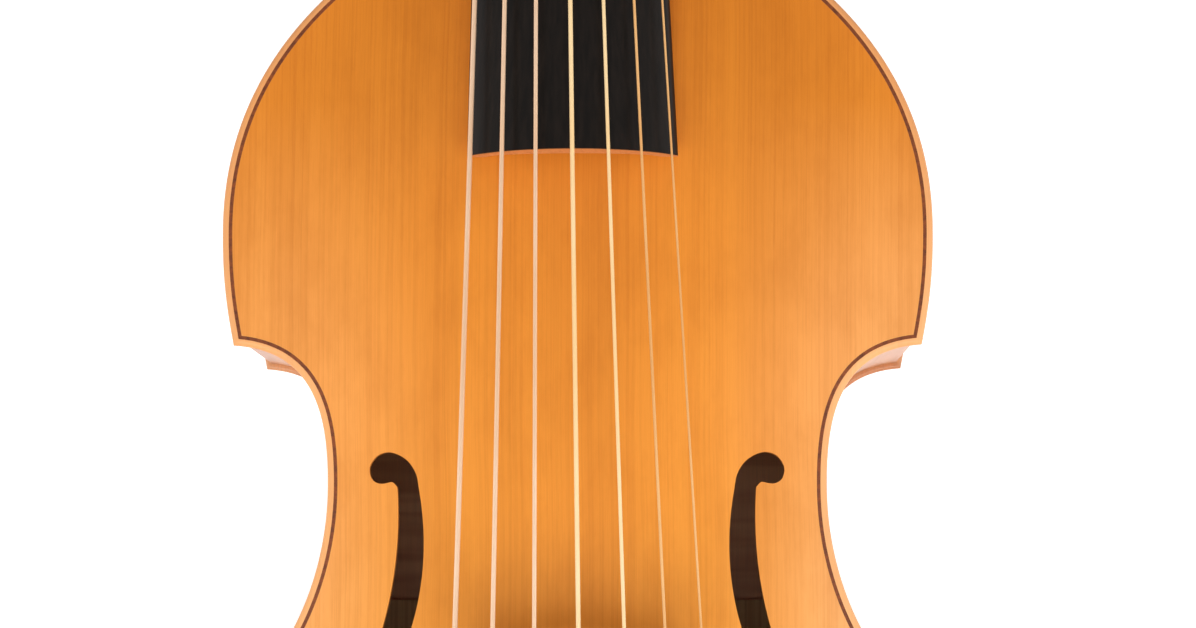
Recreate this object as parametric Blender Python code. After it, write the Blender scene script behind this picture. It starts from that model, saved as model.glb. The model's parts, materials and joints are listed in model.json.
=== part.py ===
"""A seven-string bass viol, built as its separate pieces.

Lengths are in metres. +X points to the treble side, +Y up the neck and +Z out of the front.
The origin lies on the back's flat outer face, under the middle of the body at the bridge.
The viol lies on its back, as it would on a bench.
"""
import math

import bmesh
import bpy
import numpy as np
from mathutils import Matrix, Vector
from mathutils.bvhtree import BVHTree

# Clearances
GAP = 0.0003                    # between pieces that touch
TURNING_GAP = 0.0003            # round a peg in its holes
FRET_GAP = 0.0005               # round the neck, so that a fret can slide up its taper

# Plan of the body, treble half: the outline runs from the neck down to the middle of the bottom
TOP_Y = 0.395
BOTTOM_Y = -0.295
NECK_END_HALF = 0.038           # half the body's width where it meets the heel
SHOULDER = (0.1198, 0.3065)
UPPER_BOUT_Y = 0.200
UPPER_BOUT_HALF = 0.1644
UPPER_CORNER = (0.1587, 0.1453)
WAIST_Y = 0.080
WAIST_HALF = 0.1146
LOWER_CORNER = (0.176, -0.034)
LOWER_BOUT_Y = -0.1386
LOWER_BOUT_HALF = 0.1941

# Body in depth
BACK_THICKNESS = 0.0036
RIB_HEIGHT = 0.1222
NECK_RIB_HEIGHT = 0.080         # the ribs are this much lower at the neck, past the fold
FOLD_Y = 0.205                  # the back bends towards the front here
RIB_THICKNESS = 0.002
FRONT_THICKNESS = 0.0046
OVERHANG = 0.003                # of the front and back past the ribs
ARCH_HEIGHT = 0.017
ARCH_MARGIN = 0.010             # flat rim between the arch and the edge
ARCH_TOP_RAMP = 0.150
ARCH_BOTTOM_RAMP = 0.120

# Inside
LINING_THICKNESS = 0.003
LINING_HEIGHT = 0.012
CORNER_BLOCK_LENGTH = 0.028
TOP_BLOCK_Y = 0.352
END_BLOCK_Y = -0.255
END_BLOCK_HALF = 0.042
BASS_BAR_X = -0.030
BASS_BAR_WIDTH = 0.009
BASS_BAR_DEPTH = 0.018
BASS_BAR_TIP = 0.004
BASS_BAR_Y = (-0.175, 0.225)
POST_AT = (0.038, -0.014)
POST_RADIUS = 0.006
PLATE_Y = (-0.040, 0.030)       # edges of the sound post plate
PLATE_THICKNESS = 0.004
BAR_MARGIN = 0.001              # from the ends of plate and bars to the linings
FOLD_BAR_HALF = 0.010
FOLD_BAR_HEIGHT = 0.010
LOWER_BAR_Y = -0.165
LOWER_BAR_HALF = 0.009
LOWER_BAR_HEIGHT = 0.010

# Sound holes, in a frame that leans with the hole: first outward, then up the hole
HOLE_AT = (0.0782, 0.030)
HOLE_LEAN = math.radians(10.6)
HOLE_STEM_RADIUS = 0.150        # the stem is bent to this radius
HOLE_STEM_HALF = 0.048          # up the hole to where the hook starts
HOLE_WIDTH = 0.0132
HOLE_TAPER = 0.0028             # how much narrower the stem is at the hook
HOLE_HOOK = ((0.0055, 0.0555), (0.0110, 0.0610), (0.0187, 0.0632), (0.0247, 0.0607),
             (0.0273, 0.0548), (0.0253, 0.0497), (0.0211, 0.0482), (0.0160, 0.0499))

# Strings, from the bass side
STRING_LENGTH = 0.700
STRING_SLOPE = math.radians(9.7)
STRING_DIAMETERS = (0.0023, 0.00205, 0.00185, 0.0020, 0.0016, 0.00125, 0.0010)
BRIDGE_SPACING = (-0.0540, -0.0368, -0.0185, 0.0006, 0.0203, 0.0379, 0.0538)
NUT_SPACING = (-0.0298, -0.0195, -0.0103, 0.0005, 0.0091, 0.0179, 0.0269)
BRIDGE_ARCH = 0.072             # radius over which the strings are bowed
AFTER_LENGTH = 0.095            # from the bridge to the tailpiece

# Neck, which leans a little to the bass side of the body
NECK_X = 0.0026                 # its centre line at the bridge
NECK_YAW = math.radians(1.0)
NECK_DEPTH_NUT = 0.013          # under the fingerboard's glue face
NECK_DEPTH_HEEL = 0.016
HEEL_LENGTH = 0.020
HEEL_SWEEP = 0.034              # length of the curve from the neck down into the heel
HEEL_POWER = 3.0                # squareness of its section; 2 is an ellipse
NECK_POWER = 2.0
NECK_SWELL = 0.004              # more depth where the neck runs into the pegbox
NECK_SWELL_POWER = 2.4
NECK_STRAIGHT_END = 0.012       # from the nut

# Fingerboard
BOARD_END_Y = 0.229
BOARD_END_WIDTH = 0.096
BOARD_NUT_WIDTH = 0.067
BOARD_RADIUS = 0.0645
BOARD_SIDE = 0.0045             # thickness at its sides
BOARD_CLEARANCE = 0.00105       # of its flat underside over the front's edge, where the neck starts
VENEER_THICKNESS = 0.0015
ACTION_NUT = 0.0036             # from the board to the middle of the lowest string
ACTION_END = 0.0072
BOARD_HOLLOW = 0.011            # thickness left over the hollow at the free end
BOARD_HOLLOW_Y = 0.375          # the hollow ends here
NUT_THICKNESS = 0.007

# Frets, tied on at these semitones above the open string
FRETS = 7
FRET_DIAMETER = 0.0012
FRET_TRAVEL = 0.004             # either way along the neck
FRET_BEND = 0.4                 # share of its stand-off at which a fret turns over the board's edge

# Pegbox and scroll
PEGBOX_SLOPE = math.radians(12.5)
PEGBOX_LENGTH = 0.200
PEGBOX_RISE = 0.003             # of its cheeks over the neck's glue face
PEGBOX_END_HALF = 0.020
PEGBOX_DEPTHS = (0.032, 0.024)  # at the nut and at the scroll
PEGBOX_CHEEK = 0.0075
PEGBOX_FLOOR = 0.007
CAVITY_RAMP = (0.009, 0.030)    # along the pegbox: the cavity's floor slopes down from the nut here
CAVITY_START_DEPTH = 0.012
CAVITY_END = 0.186
PEGBOX_THROAT = ((0.0, 0.55, 2.5), (0.012, 0.80, 4.0), (0.026, 0.97, 7.0), (0.045, 1.0, 9.0),
                 (0.120, 1.0, 9.0))         # along it, share of its depth, and squareness
PEGBOX_POWER = 9.0              # squareness of the pegbox's section
SCROLL_RADIUS = 0.027
SCROLL_STEPS = ((1.0, 0.017), (0.62, 0.022), (0.30, 0.026))   # share of the radius, half width
SCROLL_AT = (0.221, -0.014)     # along and over the pegbox's top edge

# Pegs
PEGS = 7
FIRST_PEG = 0.026               # along the pegbox
PEG_SPACING = 0.0252
PEG_DROP = 0.0125               # of the axes under the pegbox's top edge
PEG_RADII = (0.0050, 0.0062)    # at the far cheek and at the thumb piece's cheek
PEG_TIP = 0.0015                # past the far cheek
PEG_CROWD = 0.55                # how far the strings are drawn in on their way to the pegs
PEG_SHAFT_END = 0.0016          # past the cheek, where the collar starts
PEG_HEAD = ((0.003, 0.0078, 0.0078), (0.006, 0.0078, 0.0078), (0.008, 0.0048, 0.0048),
            (0.012, 0.0050, 0.0046), (0.018, 0.0092, 0.0046), (0.027, 0.0118, 0.0042),
            (0.035, 0.0098, 0.0034), (0.040, 0.0042, 0.0020))     # past the cheek, half width, half thickness

# Bridge
BRIDGE_HALF = 0.058
BRIDGE_THICKNESS = (0.012, 0.005)
BRIDGE_ARCH_CUT = (0.0, 0.018, 0.025)       # middle and radius of the cut between the feet
BRIDGE_SIDE_CUT = (0.064, 0.036, 0.019)
BRIDGE_HEART = (0.0, 0.064, 0.0085)
BRIDGE_EYE = (0.027, 0.052, 0.0075)

# Tailpiece and hook bar
TAIL_END_Y = -0.3075
TAIL_HALVES = (0.038, 0.013)
TAIL_HEIGHTS = (0.055, 0.026)   # of its top over the front's edge, at the strings and at the hook
TAIL_THICKNESS = 0.0075
TAIL_RADIUS = 0.070
TAIL_SPREAD = 0.60              # string spacing there, as a share of that at the bridge
TAIL_HOLLOW = 0.7               # share of the arch that its underside follows
TAIL_EDGE = 0.003               # thickness at its sides
TAIL_FLAT = 0.8                 # share of its width over which the underside is flat
TAIL_HOLE_RADIUS = 0.002
TAIL_HOLE_BACK = 0.012          # from the tailpiece's upper end
HOOK_BAR_HALF = 0.011
HOOK_BAR_THICKNESS = 0.009
HOOK_BAR_LOW = 0.060
HOOK_TONGUE_HALF = 0.006
HOOK_TONGUE_RISE = 0.005        # over the tailpiece

# How far a cutter runs past what it cuts
PAST = 0.010

# Steps round the fingerboard's arch and the neck's back, which the frets share
BOARD_STEPS = 8
NECK_STEPS = 10

# Worked out from the sizes above
EDGE_UNDER = BACK_THICKNESS + GAP + RIB_HEIGHT + GAP
EDGE_TOP = EDGE_UNDER + FRONT_THICKNESS
FOLD_SLOPE = (RIB_HEIGHT - NECK_RIB_HEIGHT) / (TOP_Y - FOLD_Y)
RIB_INSIDE = OVERHANG + RIB_THICKNESS
BLOCK_INSET = RIB_INSIDE + GAP
LINING_INSIDE = BLOCK_INSET + LINING_THICKNESS
NUT_Y = STRING_LENGTH * math.cos(STRING_SLOPE)
PEGBOX_Y = NUT_Y + GAP + NUT_THICKNESS + GAP
LOWEST_STRING = max(STRING_DIAMETERS) / 2
TAIL_TOP_Y = -AFTER_LENGTH


def sag(x, radius):
    """How far an arc has fallen at a distance from its middle."""
    return radius - math.sqrt(radius ** 2 - x ** 2)


def board_drop(y, action, width):
    """How far the fingerboard's flat underside lies below the bridge's top at one of its ends."""
    under_strings = action + sag(width / 2, BOARD_RADIUS) + BOARD_SIDE
    return math.tan(STRING_SLOPE) * y - GAP - LOWEST_STRING + under_strings


# The bridge is as high as it must be for the board to clear the front
NUT_DROP = board_drop(NUT_Y, ACTION_NUT, BOARD_NUT_WIDTH)
END_DROP = board_drop(BOARD_END_Y, ACTION_END, BOARD_END_WIDTH)
NECK_SHARE = (NUT_Y - TOP_Y) / (NUT_Y - BOARD_END_Y)
BRIDGE_TOP = EDGE_TOP + BOARD_CLEARANCE + NUT_DROP + NECK_SHARE * (END_DROP - NUT_DROP)
BAR_INSET = LINING_INSIDE + BAR_MARGIN

# Colour, roughness and metallic value of each material
SPRUCE = ((0.78, 0.42, 0.13), 0.42, 0.0)
BARE_SPRUCE = ((0.72, 0.55, 0.34), 0.8, 0.0)
MAPLE = ((0.72, 0.42, 0.22), 0.42, 0.0)
EBONY = ((0.02, 0.016, 0.014), 0.35, 0.0)
BONE = ((0.86, 0.80, 0.66), 0.4, 0.0)
BOXWOOD = ((0.70, 0.45, 0.20), 0.45, 0.0)
GUT = ((0.82, 0.70, 0.48), 0.45, 0.0)
OVERSPUN = ((0.62, 0.55, 0.50), 0.35, 0.8)

SOLIDS = "seven_string_bass_viol"
CUTTERS = "cutters"


def clear_scene():
    """Remove every object and make the two collections."""
    for thing in list(bpy.data.objects):
        bpy.data.objects.remove(thing, do_unlink=True)
    for name in (SOLIDS, CUTTERS):
        bpy.context.scene.collection.children.link(bpy.data.collections.new(name))


def add_finish(thing, finish):
    """Give an object its own Principled material."""
    colour, roughness, metallic = finish
    material = bpy.data.materials.new(thing.name)
    material.use_nodes = True
    shader = material.node_tree.nodes["Principled BSDF"]
    shader.inputs["Base Color"].default_value = (*colour, 1.0)
    shader.inputs["Roughness"].default_value = roughness
    shader.inputs["Metallic"].default_value = metallic
    thing.data.materials.append(material)


def add_mesh(name, vertices, faces, finish=None, origin=(0, 0, 0)):
    """A closed mesh object with its faces turned outwards; without a finish it is a cutter."""
    shape = bmesh.new()
    corners = [shape.verts.new(Vector(v) - Vector(origin)) for v in vertices]
    for face in faces:
        shape.faces.new([corners[i] for i in face])
    bmesh.ops.remove_doubles(shape, verts=shape.verts, dist=1e-6)
    bmesh.ops.recalc_face_normals(shape, faces=shape.faces)
    mesh = bpy.data.meshes.new(name)
    shape.to_mesh(mesh)
    shape.free()
    return add_object(name, mesh, finish, origin)


def add_object(name, data, finish, origin=(0, 0, 0)):
    """Link data as an object, among the solids or, without a finish, among the cutters."""
    thing = bpy.data.objects.new(name, data)
    thing.location = origin
    bpy.data.collections[SOLIDS if finish else CUTTERS].objects.link(thing)
    if finish:
        add_finish(thing, finish)
    else:
        thing.hide_render = True
        thing.display_type = "WIRE"
    return thing


def smooth(thing, angle=35):
    """Shade a round piece smooth, except over sharp edges."""
    thing.data.shade_smooth()
    thing.data.set_sharp_from_angle(angle=math.radians(angle))
    return thing


def cut(thing, cutter, operation="DIFFERENCE"):
    """Cut a solid with another, or join them."""
    modifier = thing.modifiers.new(cutter.name, "BOOLEAN")
    modifier.operation = operation
    modifier.solver = "EXACT"
    modifier.object = cutter


def loft(name, sections, finish=None, origin=(0, 0, 0)):
    """A solid through a row of like-numbered loops of points, capped at both ends."""
    sections = np.asarray(sections, dtype=float)
    stations, size, _ = sections.shape
    faces = []
    for i in range(stations - 1):
        for j in range(size):
            k = (j + 1) % size
            faces.append((i * size + j, i * size + k, (i + 1) * size + k, (i + 1) * size + j))
    faces.append(tuple(range(size)))
    faces.append(tuple(range((stations - 1) * size, stations * size)))
    return add_mesh(name, sections.reshape(-1, 3), faces, finish, origin)


def prism(name, polygon, low, high, finish=None):
    """A flat outline in plan, raised from one height to another."""
    return loft(name, [[(x, y, z) for x, y in polygon] for z in (low, high)], finish)


def block(name, low, high, finish=None):
    """A rectangular block between two corners."""
    shape = bmesh.new()
    bmesh.ops.create_cube(shape, size=1.0)
    size = Vector(high) - Vector(low)
    middle = (Vector(high) + Vector(low)) / 2
    bmesh.ops.transform(shape, verts=shape.verts, matrix=Matrix.Diagonal((*size, 1.0)))
    mesh = bpy.data.meshes.new(name)
    shape.to_mesh(mesh)
    shape.free()
    return add_object(name, mesh, finish, middle)


def rod(name, start, end, radii, finish=None, sides=24):
    """A round rod or frustum between two points."""
    start, end = Vector(start), Vector(end)
    axis = end - start
    shape = bmesh.new()
    bmesh.ops.create_cone(shape, cap_ends=True, segments=sides,
                          radius1=radii[0], radius2=radii[1], depth=axis.length)
    turn = Vector((0, 0, 1)).rotation_difference(axis).to_matrix().to_4x4()
    bmesh.ops.transform(shape, verts=shape.verts, matrix=turn)
    mesh = bpy.data.meshes.new(name)
    shape.to_mesh(mesh)
    shape.free()
    return smooth(add_object(name, mesh, finish, (start + end) / 2))


def tube(name, points, radius, finish, closed=False, origin=(0, 0, 0), sides=1):
    """A string or fret: a curve object through the points, with its ends filled."""
    curve = bpy.data.curves.new(name, "CURVE")
    curve.dimensions = "3D"
    curve.bevel_depth = radius
    curve.bevel_resolution = sides
    curve.use_fill_caps = not closed
    spline = curve.splines.new("POLY")
    spline.points.add(len(points) - 1)
    for point, place in zip(spline.points, points):
        point.co = (*(Vector(place) - Vector(origin)), 1.0)
    spline.use_cyclic_u = closed
    return add_object(name, curve, finish, origin)


# Plan of the body

def bend(start, start_heading, end, end_heading, reaches, steps):
    """A smooth curve between two points with given headings in degrees.

    Returns its points and the unit normals on its right-hand side, which is inside the body.
    """
    start, end = np.array(start), np.array(end)
    chord = np.linalg.norm(end - start)
    first, last = (np.array([math.cos(math.radians(h)), math.sin(math.radians(h))])
                   for h in (start_heading, end_heading))
    near = start + first * chord * reaches[0]
    far = end - last * chord * reaches[1]
    t = np.linspace(0, 1, steps + 1)[:, None]
    points = ((1 - t) ** 3 * start + 3 * (1 - t) ** 2 * t * near
              + 3 * (1 - t) * t ** 2 * far + t ** 3 * end)
    along = ((1 - t) ** 2 * (near - start) + 2 * (1 - t) * t * (far - near) + t ** 2 * (end - far))
    along = along / np.linalg.norm(along, axis=1)[:, None]
    return points, np.stack([along[:, 1], -along[:, 0]], axis=1)


def join(*curves):
    """Run curves together that meet end to end."""
    points = [curves[0][0]] + [c[0][1:] for c in curves[1:]]
    normals = [curves[0][1]] + [c[1][1:] for c in curves[1:]]
    return np.concatenate(points), np.concatenate(normals)


def outline():
    """The upper bout, waist and lower bout of the treble side, each as points and normals."""
    upper = join(
        bend((NECK_END_HALF, TOP_Y), -62, SHOULDER, -45, (0.30, 0.30), 6),
        bend(SHOULDER, -45, (UPPER_BOUT_HALF, UPPER_BOUT_Y), -90, (0.356, 0.361), 9),
        bend((UPPER_BOUT_HALF, UPPER_BOUT_Y), -90, UPPER_CORNER, -101.6, (0.356, 0.394), 4))
    waist = join(
        bend(UPPER_CORNER, 183.5, (WAIST_HALF, WAIST_Y), 270, (0.484, 0.410), 10),
        bend((WAIST_HALF, WAIST_Y), -90, LOWER_CORNER, -30, (0.355, 0.357), 8))
    lower = join(
        bend(LOWER_CORNER, -70, (LOWER_BOUT_HALF, LOWER_BOUT_Y), -90, (0.34, 0.34), 5),
        bend((LOWER_BOUT_HALF, LOWER_BOUT_Y), -90, (0.0, BOTTOM_Y), -180, (0.355, 0.470), 14))
    return upper, waist, lower


UPPER, WAIST, LOWER = range(3)
OUTLINE = outline()


def crossing(first, second):
    """Where two open polylines cross, and the segment of each that it lies on."""
    for i in range(len(first) - 1):
        for j in range(len(second) - 1):
            sides = np.array([first[i + 1] - first[i], second[j] - second[j + 1]]).T
            if abs(np.linalg.det(sides)) > 1e-14:
                s, t = np.linalg.solve(sides, second[j] - first[i])
                if 0 <= s <= 1 and 0 <= t <= 1:
                    return first[i] + s * (first[i + 1] - first[i]), i, j
    raise ValueError("the two curves do not cross")


def inset(distance):
    """The three curves moved into the body, cut where they meet and at the body's neck end."""
    curves = [points + normals * distance for points, normals in OUTLINE]
    if distance > 0:
        upper = curves[UPPER]
        lead = upper[0] - (upper[1] - upper[0]) / np.linalg.norm(upper[1] - upper[0]) * 0.02
        neck_end = np.array([[-1.0, TOP_Y], [1.0, TOP_Y]])
        curves[UPPER] = np.vstack([lead, upper])
        place, i, _ = crossing(curves[UPPER], neck_end)
        curves[UPPER] = np.vstack([place, curves[UPPER][i + 1:]])
        for above, below in ((UPPER, WAIST), (WAIST, LOWER)):
            place, i, j = crossing(curves[above], curves[below])
            curves[above] = np.vstack([curves[above][:i + 1], place])
            curves[below] = np.vstack([place, curves[below][j + 1:]])
    return curves


def half_width(y, distance=0.0):
    """Half the body's width at a place along it, less an inset."""
    points = np.concatenate(inset(distance))[::-1]
    return float(np.interp(y, points[:, 1], points[:, 0]))


def stretch(points, start, end, count):
    """Evenly spaced points of a polyline between two lengths; an end of 0 or less counts back."""
    lengths = np.concatenate([[0], np.cumsum(np.linalg.norm(np.diff(points, axis=0), axis=1))])
    stop = end if end > 0 else lengths[-1] + end
    at = np.linspace(start, stop, count)
    return np.stack([np.interp(at, lengths, points[:, k]) for k in (0, 1)], axis=1)


def with_row(points, y):
    """The same polyline with a point added where it passes a given y."""
    falls = np.where((points[:-1, 1] > y + 1e-6) & (points[1:, 1] < y - 1e-6))[0]
    if len(falls) == 0:
        return points
    i = falls[0]
    share = (points[i, 1] - y) / (points[i, 1] - points[i + 1, 1])
    extra = points[i] + share * (points[i + 1] - points[i])
    return np.insert(points, i + 1, [extra[0], y], axis=0)


# Heights of the plates

def back_under(y):
    """The back's outer face: flat, then rising past the fold."""
    return max(0.0, y - FOLD_Y) * FOLD_SLOPE


def back_top(y):
    """The back's inner face."""
    return back_under(y) + BACK_THICKNESS


def ease(t):
    """A smooth step from 0 to 1."""
    t = np.clip(t, 0.0, 1.0)
    return t * t * (3 - 2 * t)


def arch_half(y):
    """Half the width of the front's arched part, which passes the corners in a smooth line."""
    waist = WAIST_HALF - ARCH_MARGIN
    if y >= UPPER_BOUT_Y or y <= LOWER_BOUT_Y:
        return max(half_width(y) - ARCH_MARGIN, ARCH_MARGIN)
    if y >= WAIST_Y:
        share = ease((y - WAIST_Y) / (UPPER_BOUT_Y - WAIST_Y))
        return waist + (UPPER_BOUT_HALF - WAIST_HALF) * share
    share = ease((WAIST_Y - y) / (WAIST_Y - LOWER_BOUT_Y))
    return waist + (LOWER_BOUT_HALF - WAIST_HALF) * share


def arch(x, y):
    """Height of the front's outer face over its edge."""
    across = min(abs(x) / arch_half(y), 1.0)
    along = (ease((TOP_Y - ARCH_MARGIN - y) / ARCH_TOP_RAMP)
             * ease((y - BOTTOM_Y - ARCH_MARGIN) / ARCH_BOTTOM_RAMP))
    return ARCH_HEIGHT * (1 - across ** 2.2) ** 1.7 * along


def plate_grid(half, columns, height, thickness):
    """Vertices and faces of a plate whose rows lie along the points of the half outline."""
    across = np.linspace(-1, 1, columns + 1)
    upper = [[(x * u, y, height(x * u, y)) for u in across] for x, y in half]
    grid = np.array(upper)
    lower = grid.copy()
    lower[:, :, 2] -= thickness
    rows, wide = grid.shape[:2]
    vertices = np.concatenate([grid.reshape(-1, 3), lower.reshape(-1, 3)])
    index = np.arange(rows * wide).reshape(rows, wide)
    below = index + rows * wide
    faces = []
    for i in range(rows - 1):
        for j in range(columns):
            quad = (index[i, j], index[i, j + 1], index[i + 1, j + 1], index[i + 1, j])
            faces.append(quad)
            faces.append(tuple(q + rows * wide for q in reversed(quad)))
    rim = list(index[0]) + list(index[1:, -1]) + list(index[-1, -2::-1]) + list(index[-2:0:-1, 0])
    under = list(below[0]) + list(below[1:, -1]) + list(below[-1, -2::-1]) + list(below[-2:0:-1, 0])
    for k in range(len(rim)):
        m = (k + 1) % len(rim)
        faces.append((rim[k], under[k], under[m], rim[m]))
    return vertices, faces


def plate(name, half, columns, height, thickness, finish):
    """A plate of the body's outline. Rows that shrink to a point are merged there."""
    vertices, faces = plate_grid(half, columns, height, thickness)
    shape = bmesh.new()
    corners = [shape.verts.new(v) for v in vertices]
    for face in faces:
        shape.faces.new([corners[i] for i in face])
    bmesh.ops.remove_doubles(shape, verts=shape.verts, dist=1e-6)
    bmesh.ops.dissolve_degenerate(shape, edges=shape.edges, dist=1e-7)
    bmesh.ops.recalc_face_normals(shape, faces=shape.faces)
    mesh = bpy.data.meshes.new(name)
    shape.to_mesh(mesh)
    tree = BVHTree.FromBMesh(shape)
    shape.free()
    return smooth(add_object(name, mesh, finish)), tree


def surface(tree, x, y, outer):
    """Height of a plate's outer or inner face at a place, read from its facets."""
    start, way = ((1.0, -1) if outer else (-1.0, 1))
    return tree.ray_cast(Vector((x, y, start)), Vector((0, 0, way)))[0].z


# Body

def hole_outline(side):
    """One C-shaped sound hole in plan: a bent, tapered stem with a hook and bulb at each end."""
    def stem(s, edge):
        width = HOLE_WIDTH - HOLE_TAPER * (s / HOLE_STEM_HALF) ** 2
        return s * s / (2 * HOLE_STEM_RADIUS) + edge * width / 2, s

    steps = np.linspace(-HOLE_STEM_HALF, HOLE_STEM_HALF, 9)
    inner = [stem(s, -1) for s in steps]
    outer = [stem(s, 1) for s in steps[::-1]]
    below = [(n, -s) for n, s in HOLE_HOOK[::-1]]
    out = np.array([math.cos(HOLE_LEAN), math.sin(HOLE_LEAN)])
    up = np.array([-math.sin(HOLE_LEAN), math.cos(HOLE_LEAN)])
    points = [np.array(HOLE_AT) + n * out + s * up for n, s in inner + list(HOLE_HOOK) + outer + below]
    return [(side * x, y) for x, y in points]


def make_plates():
    """The back and the front, with its sound holes and the notch for the hook bar."""
    half = np.concatenate([points if k == 0 else points[1:] for k, (points, _) in enumerate(OUTLINE)])
    back, _ = plate("back", with_row(half, FOLD_Y), 4, lambda x, y: back_top(y), BACK_THICKNESS, MAPLE)
    front, tree = plate("front", half, 14, lambda x, y: EDGE_TOP + arch(x, y), FRONT_THICKNESS, SPRUCE)
    for side, name in ((-1, "bass_sound_hole"), (1, "treble_sound_hole")):
        low, high = EDGE_UNDER - PAST, EDGE_TOP + ARCH_HEIGHT + PAST
        cut(front, prism(name, hole_outline(side), low, high))
    notch = block("hook_bar_notch",
                  (-HOOK_BAR_HALF - GAP, BOTTOM_Y - PAST, EDGE_UNDER - PAST),
                  (HOOK_BAR_HALF + GAP, BOTTOM_Y + OVERHANG, EDGE_TOP + PAST))
    cut(front, notch)
    return tree


def wall(name, lines, low, high, finish, side):
    """A strip that stands along the outline, between an outer and an inner line."""
    outer, inner = (with_row(line, FOLD_Y) for line in lines)
    sections = []
    for (xo, yo), (xi, yi) in zip(outer, inner):
        sections.append([(side * xo, yo, low(yo)), (side * xo, yo, high(yo)),
                         (side * xi, yi, high(yi)), (side * xi, yi, low(yi))])
    return smooth(loft(name, sections, finish))


def make_ribs():
    """Six bent ribs, mitred at the corners and meeting at the middle of the bottom."""
    outer, inner = inset(OVERHANG), inset(RIB_INSIDE)
    spans = ((UPPER, "upper", 0.0, -GAP, 26), (WAIST, "waist", GAP, -GAP, 40),
             (LOWER, "lower", GAP, -GAP, 28))
    for part, name, start, end, count in spans:
        lines = [stretch(curve[part], start, end, count) for curve in (outer, inner)]
        for side, label in ((-1, "bass"), (1, "treble")):
            wall(f"{label}_{name}_rib", lines, lambda y: back_top(y) + GAP,
                 lambda y: EDGE_UNDER - GAP, MAPLE, side)


def make_linings():
    """Strips inside the ribs that widen the glue faces at the front and at the back."""
    outer, inner = inset(BLOCK_INSET), inset(LINING_INSIDE)
    block_corner = np.array([half_width(TOP_BLOCK_Y, BLOCK_INSET), TOP_BLOCK_Y])
    start_upper = nearest(outer[UPPER], block_corner) + 2 * LINING_THICKNESS
    end_lower = -(END_BLOCK_HALF + 2 * LINING_THICKNESS)
    corner = CORNER_BLOCK_LENGTH + 2 * GAP
    spans = ((UPPER, "upper", start_upper, -corner, 20), (WAIST, "waist", corner, -corner, 28),
             (LOWER, "lower", corner, end_lower, 21))
    for part, name, start, end, count in spans:
        base = stretch(outer[part], start, end, count)
        reach = [nearest(inner[part], point) for point in (base[0], base[-1])]
        lines = base, stretch(inner[part], reach[0], reach[1], count)
        for side, label in ((-1, "bass"), (1, "treble")):
            wall(f"{label}_{name}_front_lining", lines, lambda y: EDGE_UNDER - GAP - LINING_HEIGHT,
                 lambda y: EDGE_UNDER - GAP, BARE_SPRUCE, side)
            wall(f"{label}_{name}_back_lining", lines, lambda y: back_top(y) + GAP,
                 lambda y: back_top(y) + GAP + LINING_HEIGHT, BARE_SPRUCE, side)


def nearest(points, place):
    """The length along a polyline at its nearest point to a place."""
    fine = np.linspace(0, 1, 2001)
    lengths = np.concatenate([[0], np.cumsum(np.linalg.norm(np.diff(points, axis=0), axis=1))])
    at = fine * lengths[-1]
    there = np.stack([np.interp(at, lengths, points[:, k]) for k in (0, 1)], axis=1)
    return float(at[np.argmin(np.linalg.norm(there - place, axis=1))])


def make_blocks():
    """Blocks at the neck, at the bottom and in the four corners."""
    low, high = BACK_THICKNESS + GAP, EDGE_UNDER - GAP
    sections = []
    for y in np.linspace(TOP_Y, TOP_BLOCK_Y, 6):
        half = half_width(y, BLOCK_INSET)
        floor = back_top(y) + GAP
        sections.append([(half, y, floor), (half, y, high), (-half, y, high), (-half, y, floor)])
    loft("top_block", sections, BARE_SPRUCE)
    bottom = inset(BLOCK_INSET)[LOWER][::-1]
    sections = []
    for x in np.linspace(-END_BLOCK_HALF, END_BLOCK_HALF, 9):
        y = float(np.interp(abs(x), bottom[:, 0], bottom[:, 1]))
        sections.append([(x, y, low), (x, END_BLOCK_Y, low), (x, END_BLOCK_Y, high), (x, y, high)])
    loft("end_block", sections, BARE_SPRUCE)
    lines = inset(BLOCK_INSET)
    for name, above, below in (("upper", UPPER, WAIST), ("lower", WAIST, LOWER)):
        arm = stretch(lines[above][::-1], 0.0, CORNER_BLOCK_LENGTH, 6)[::-1]
        other = stretch(lines[below], 0.0, CORNER_BLOCK_LENGTH, 6)
        for side, label in ((-1, "bass"), (1, "treble")):
            polygon = [(side * x, y) for x, y in list(arm) + list(other[1:])]
            prism(f"{label}_{name}_corner_block", polygon, low, high, BARE_SPRUCE)


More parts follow.
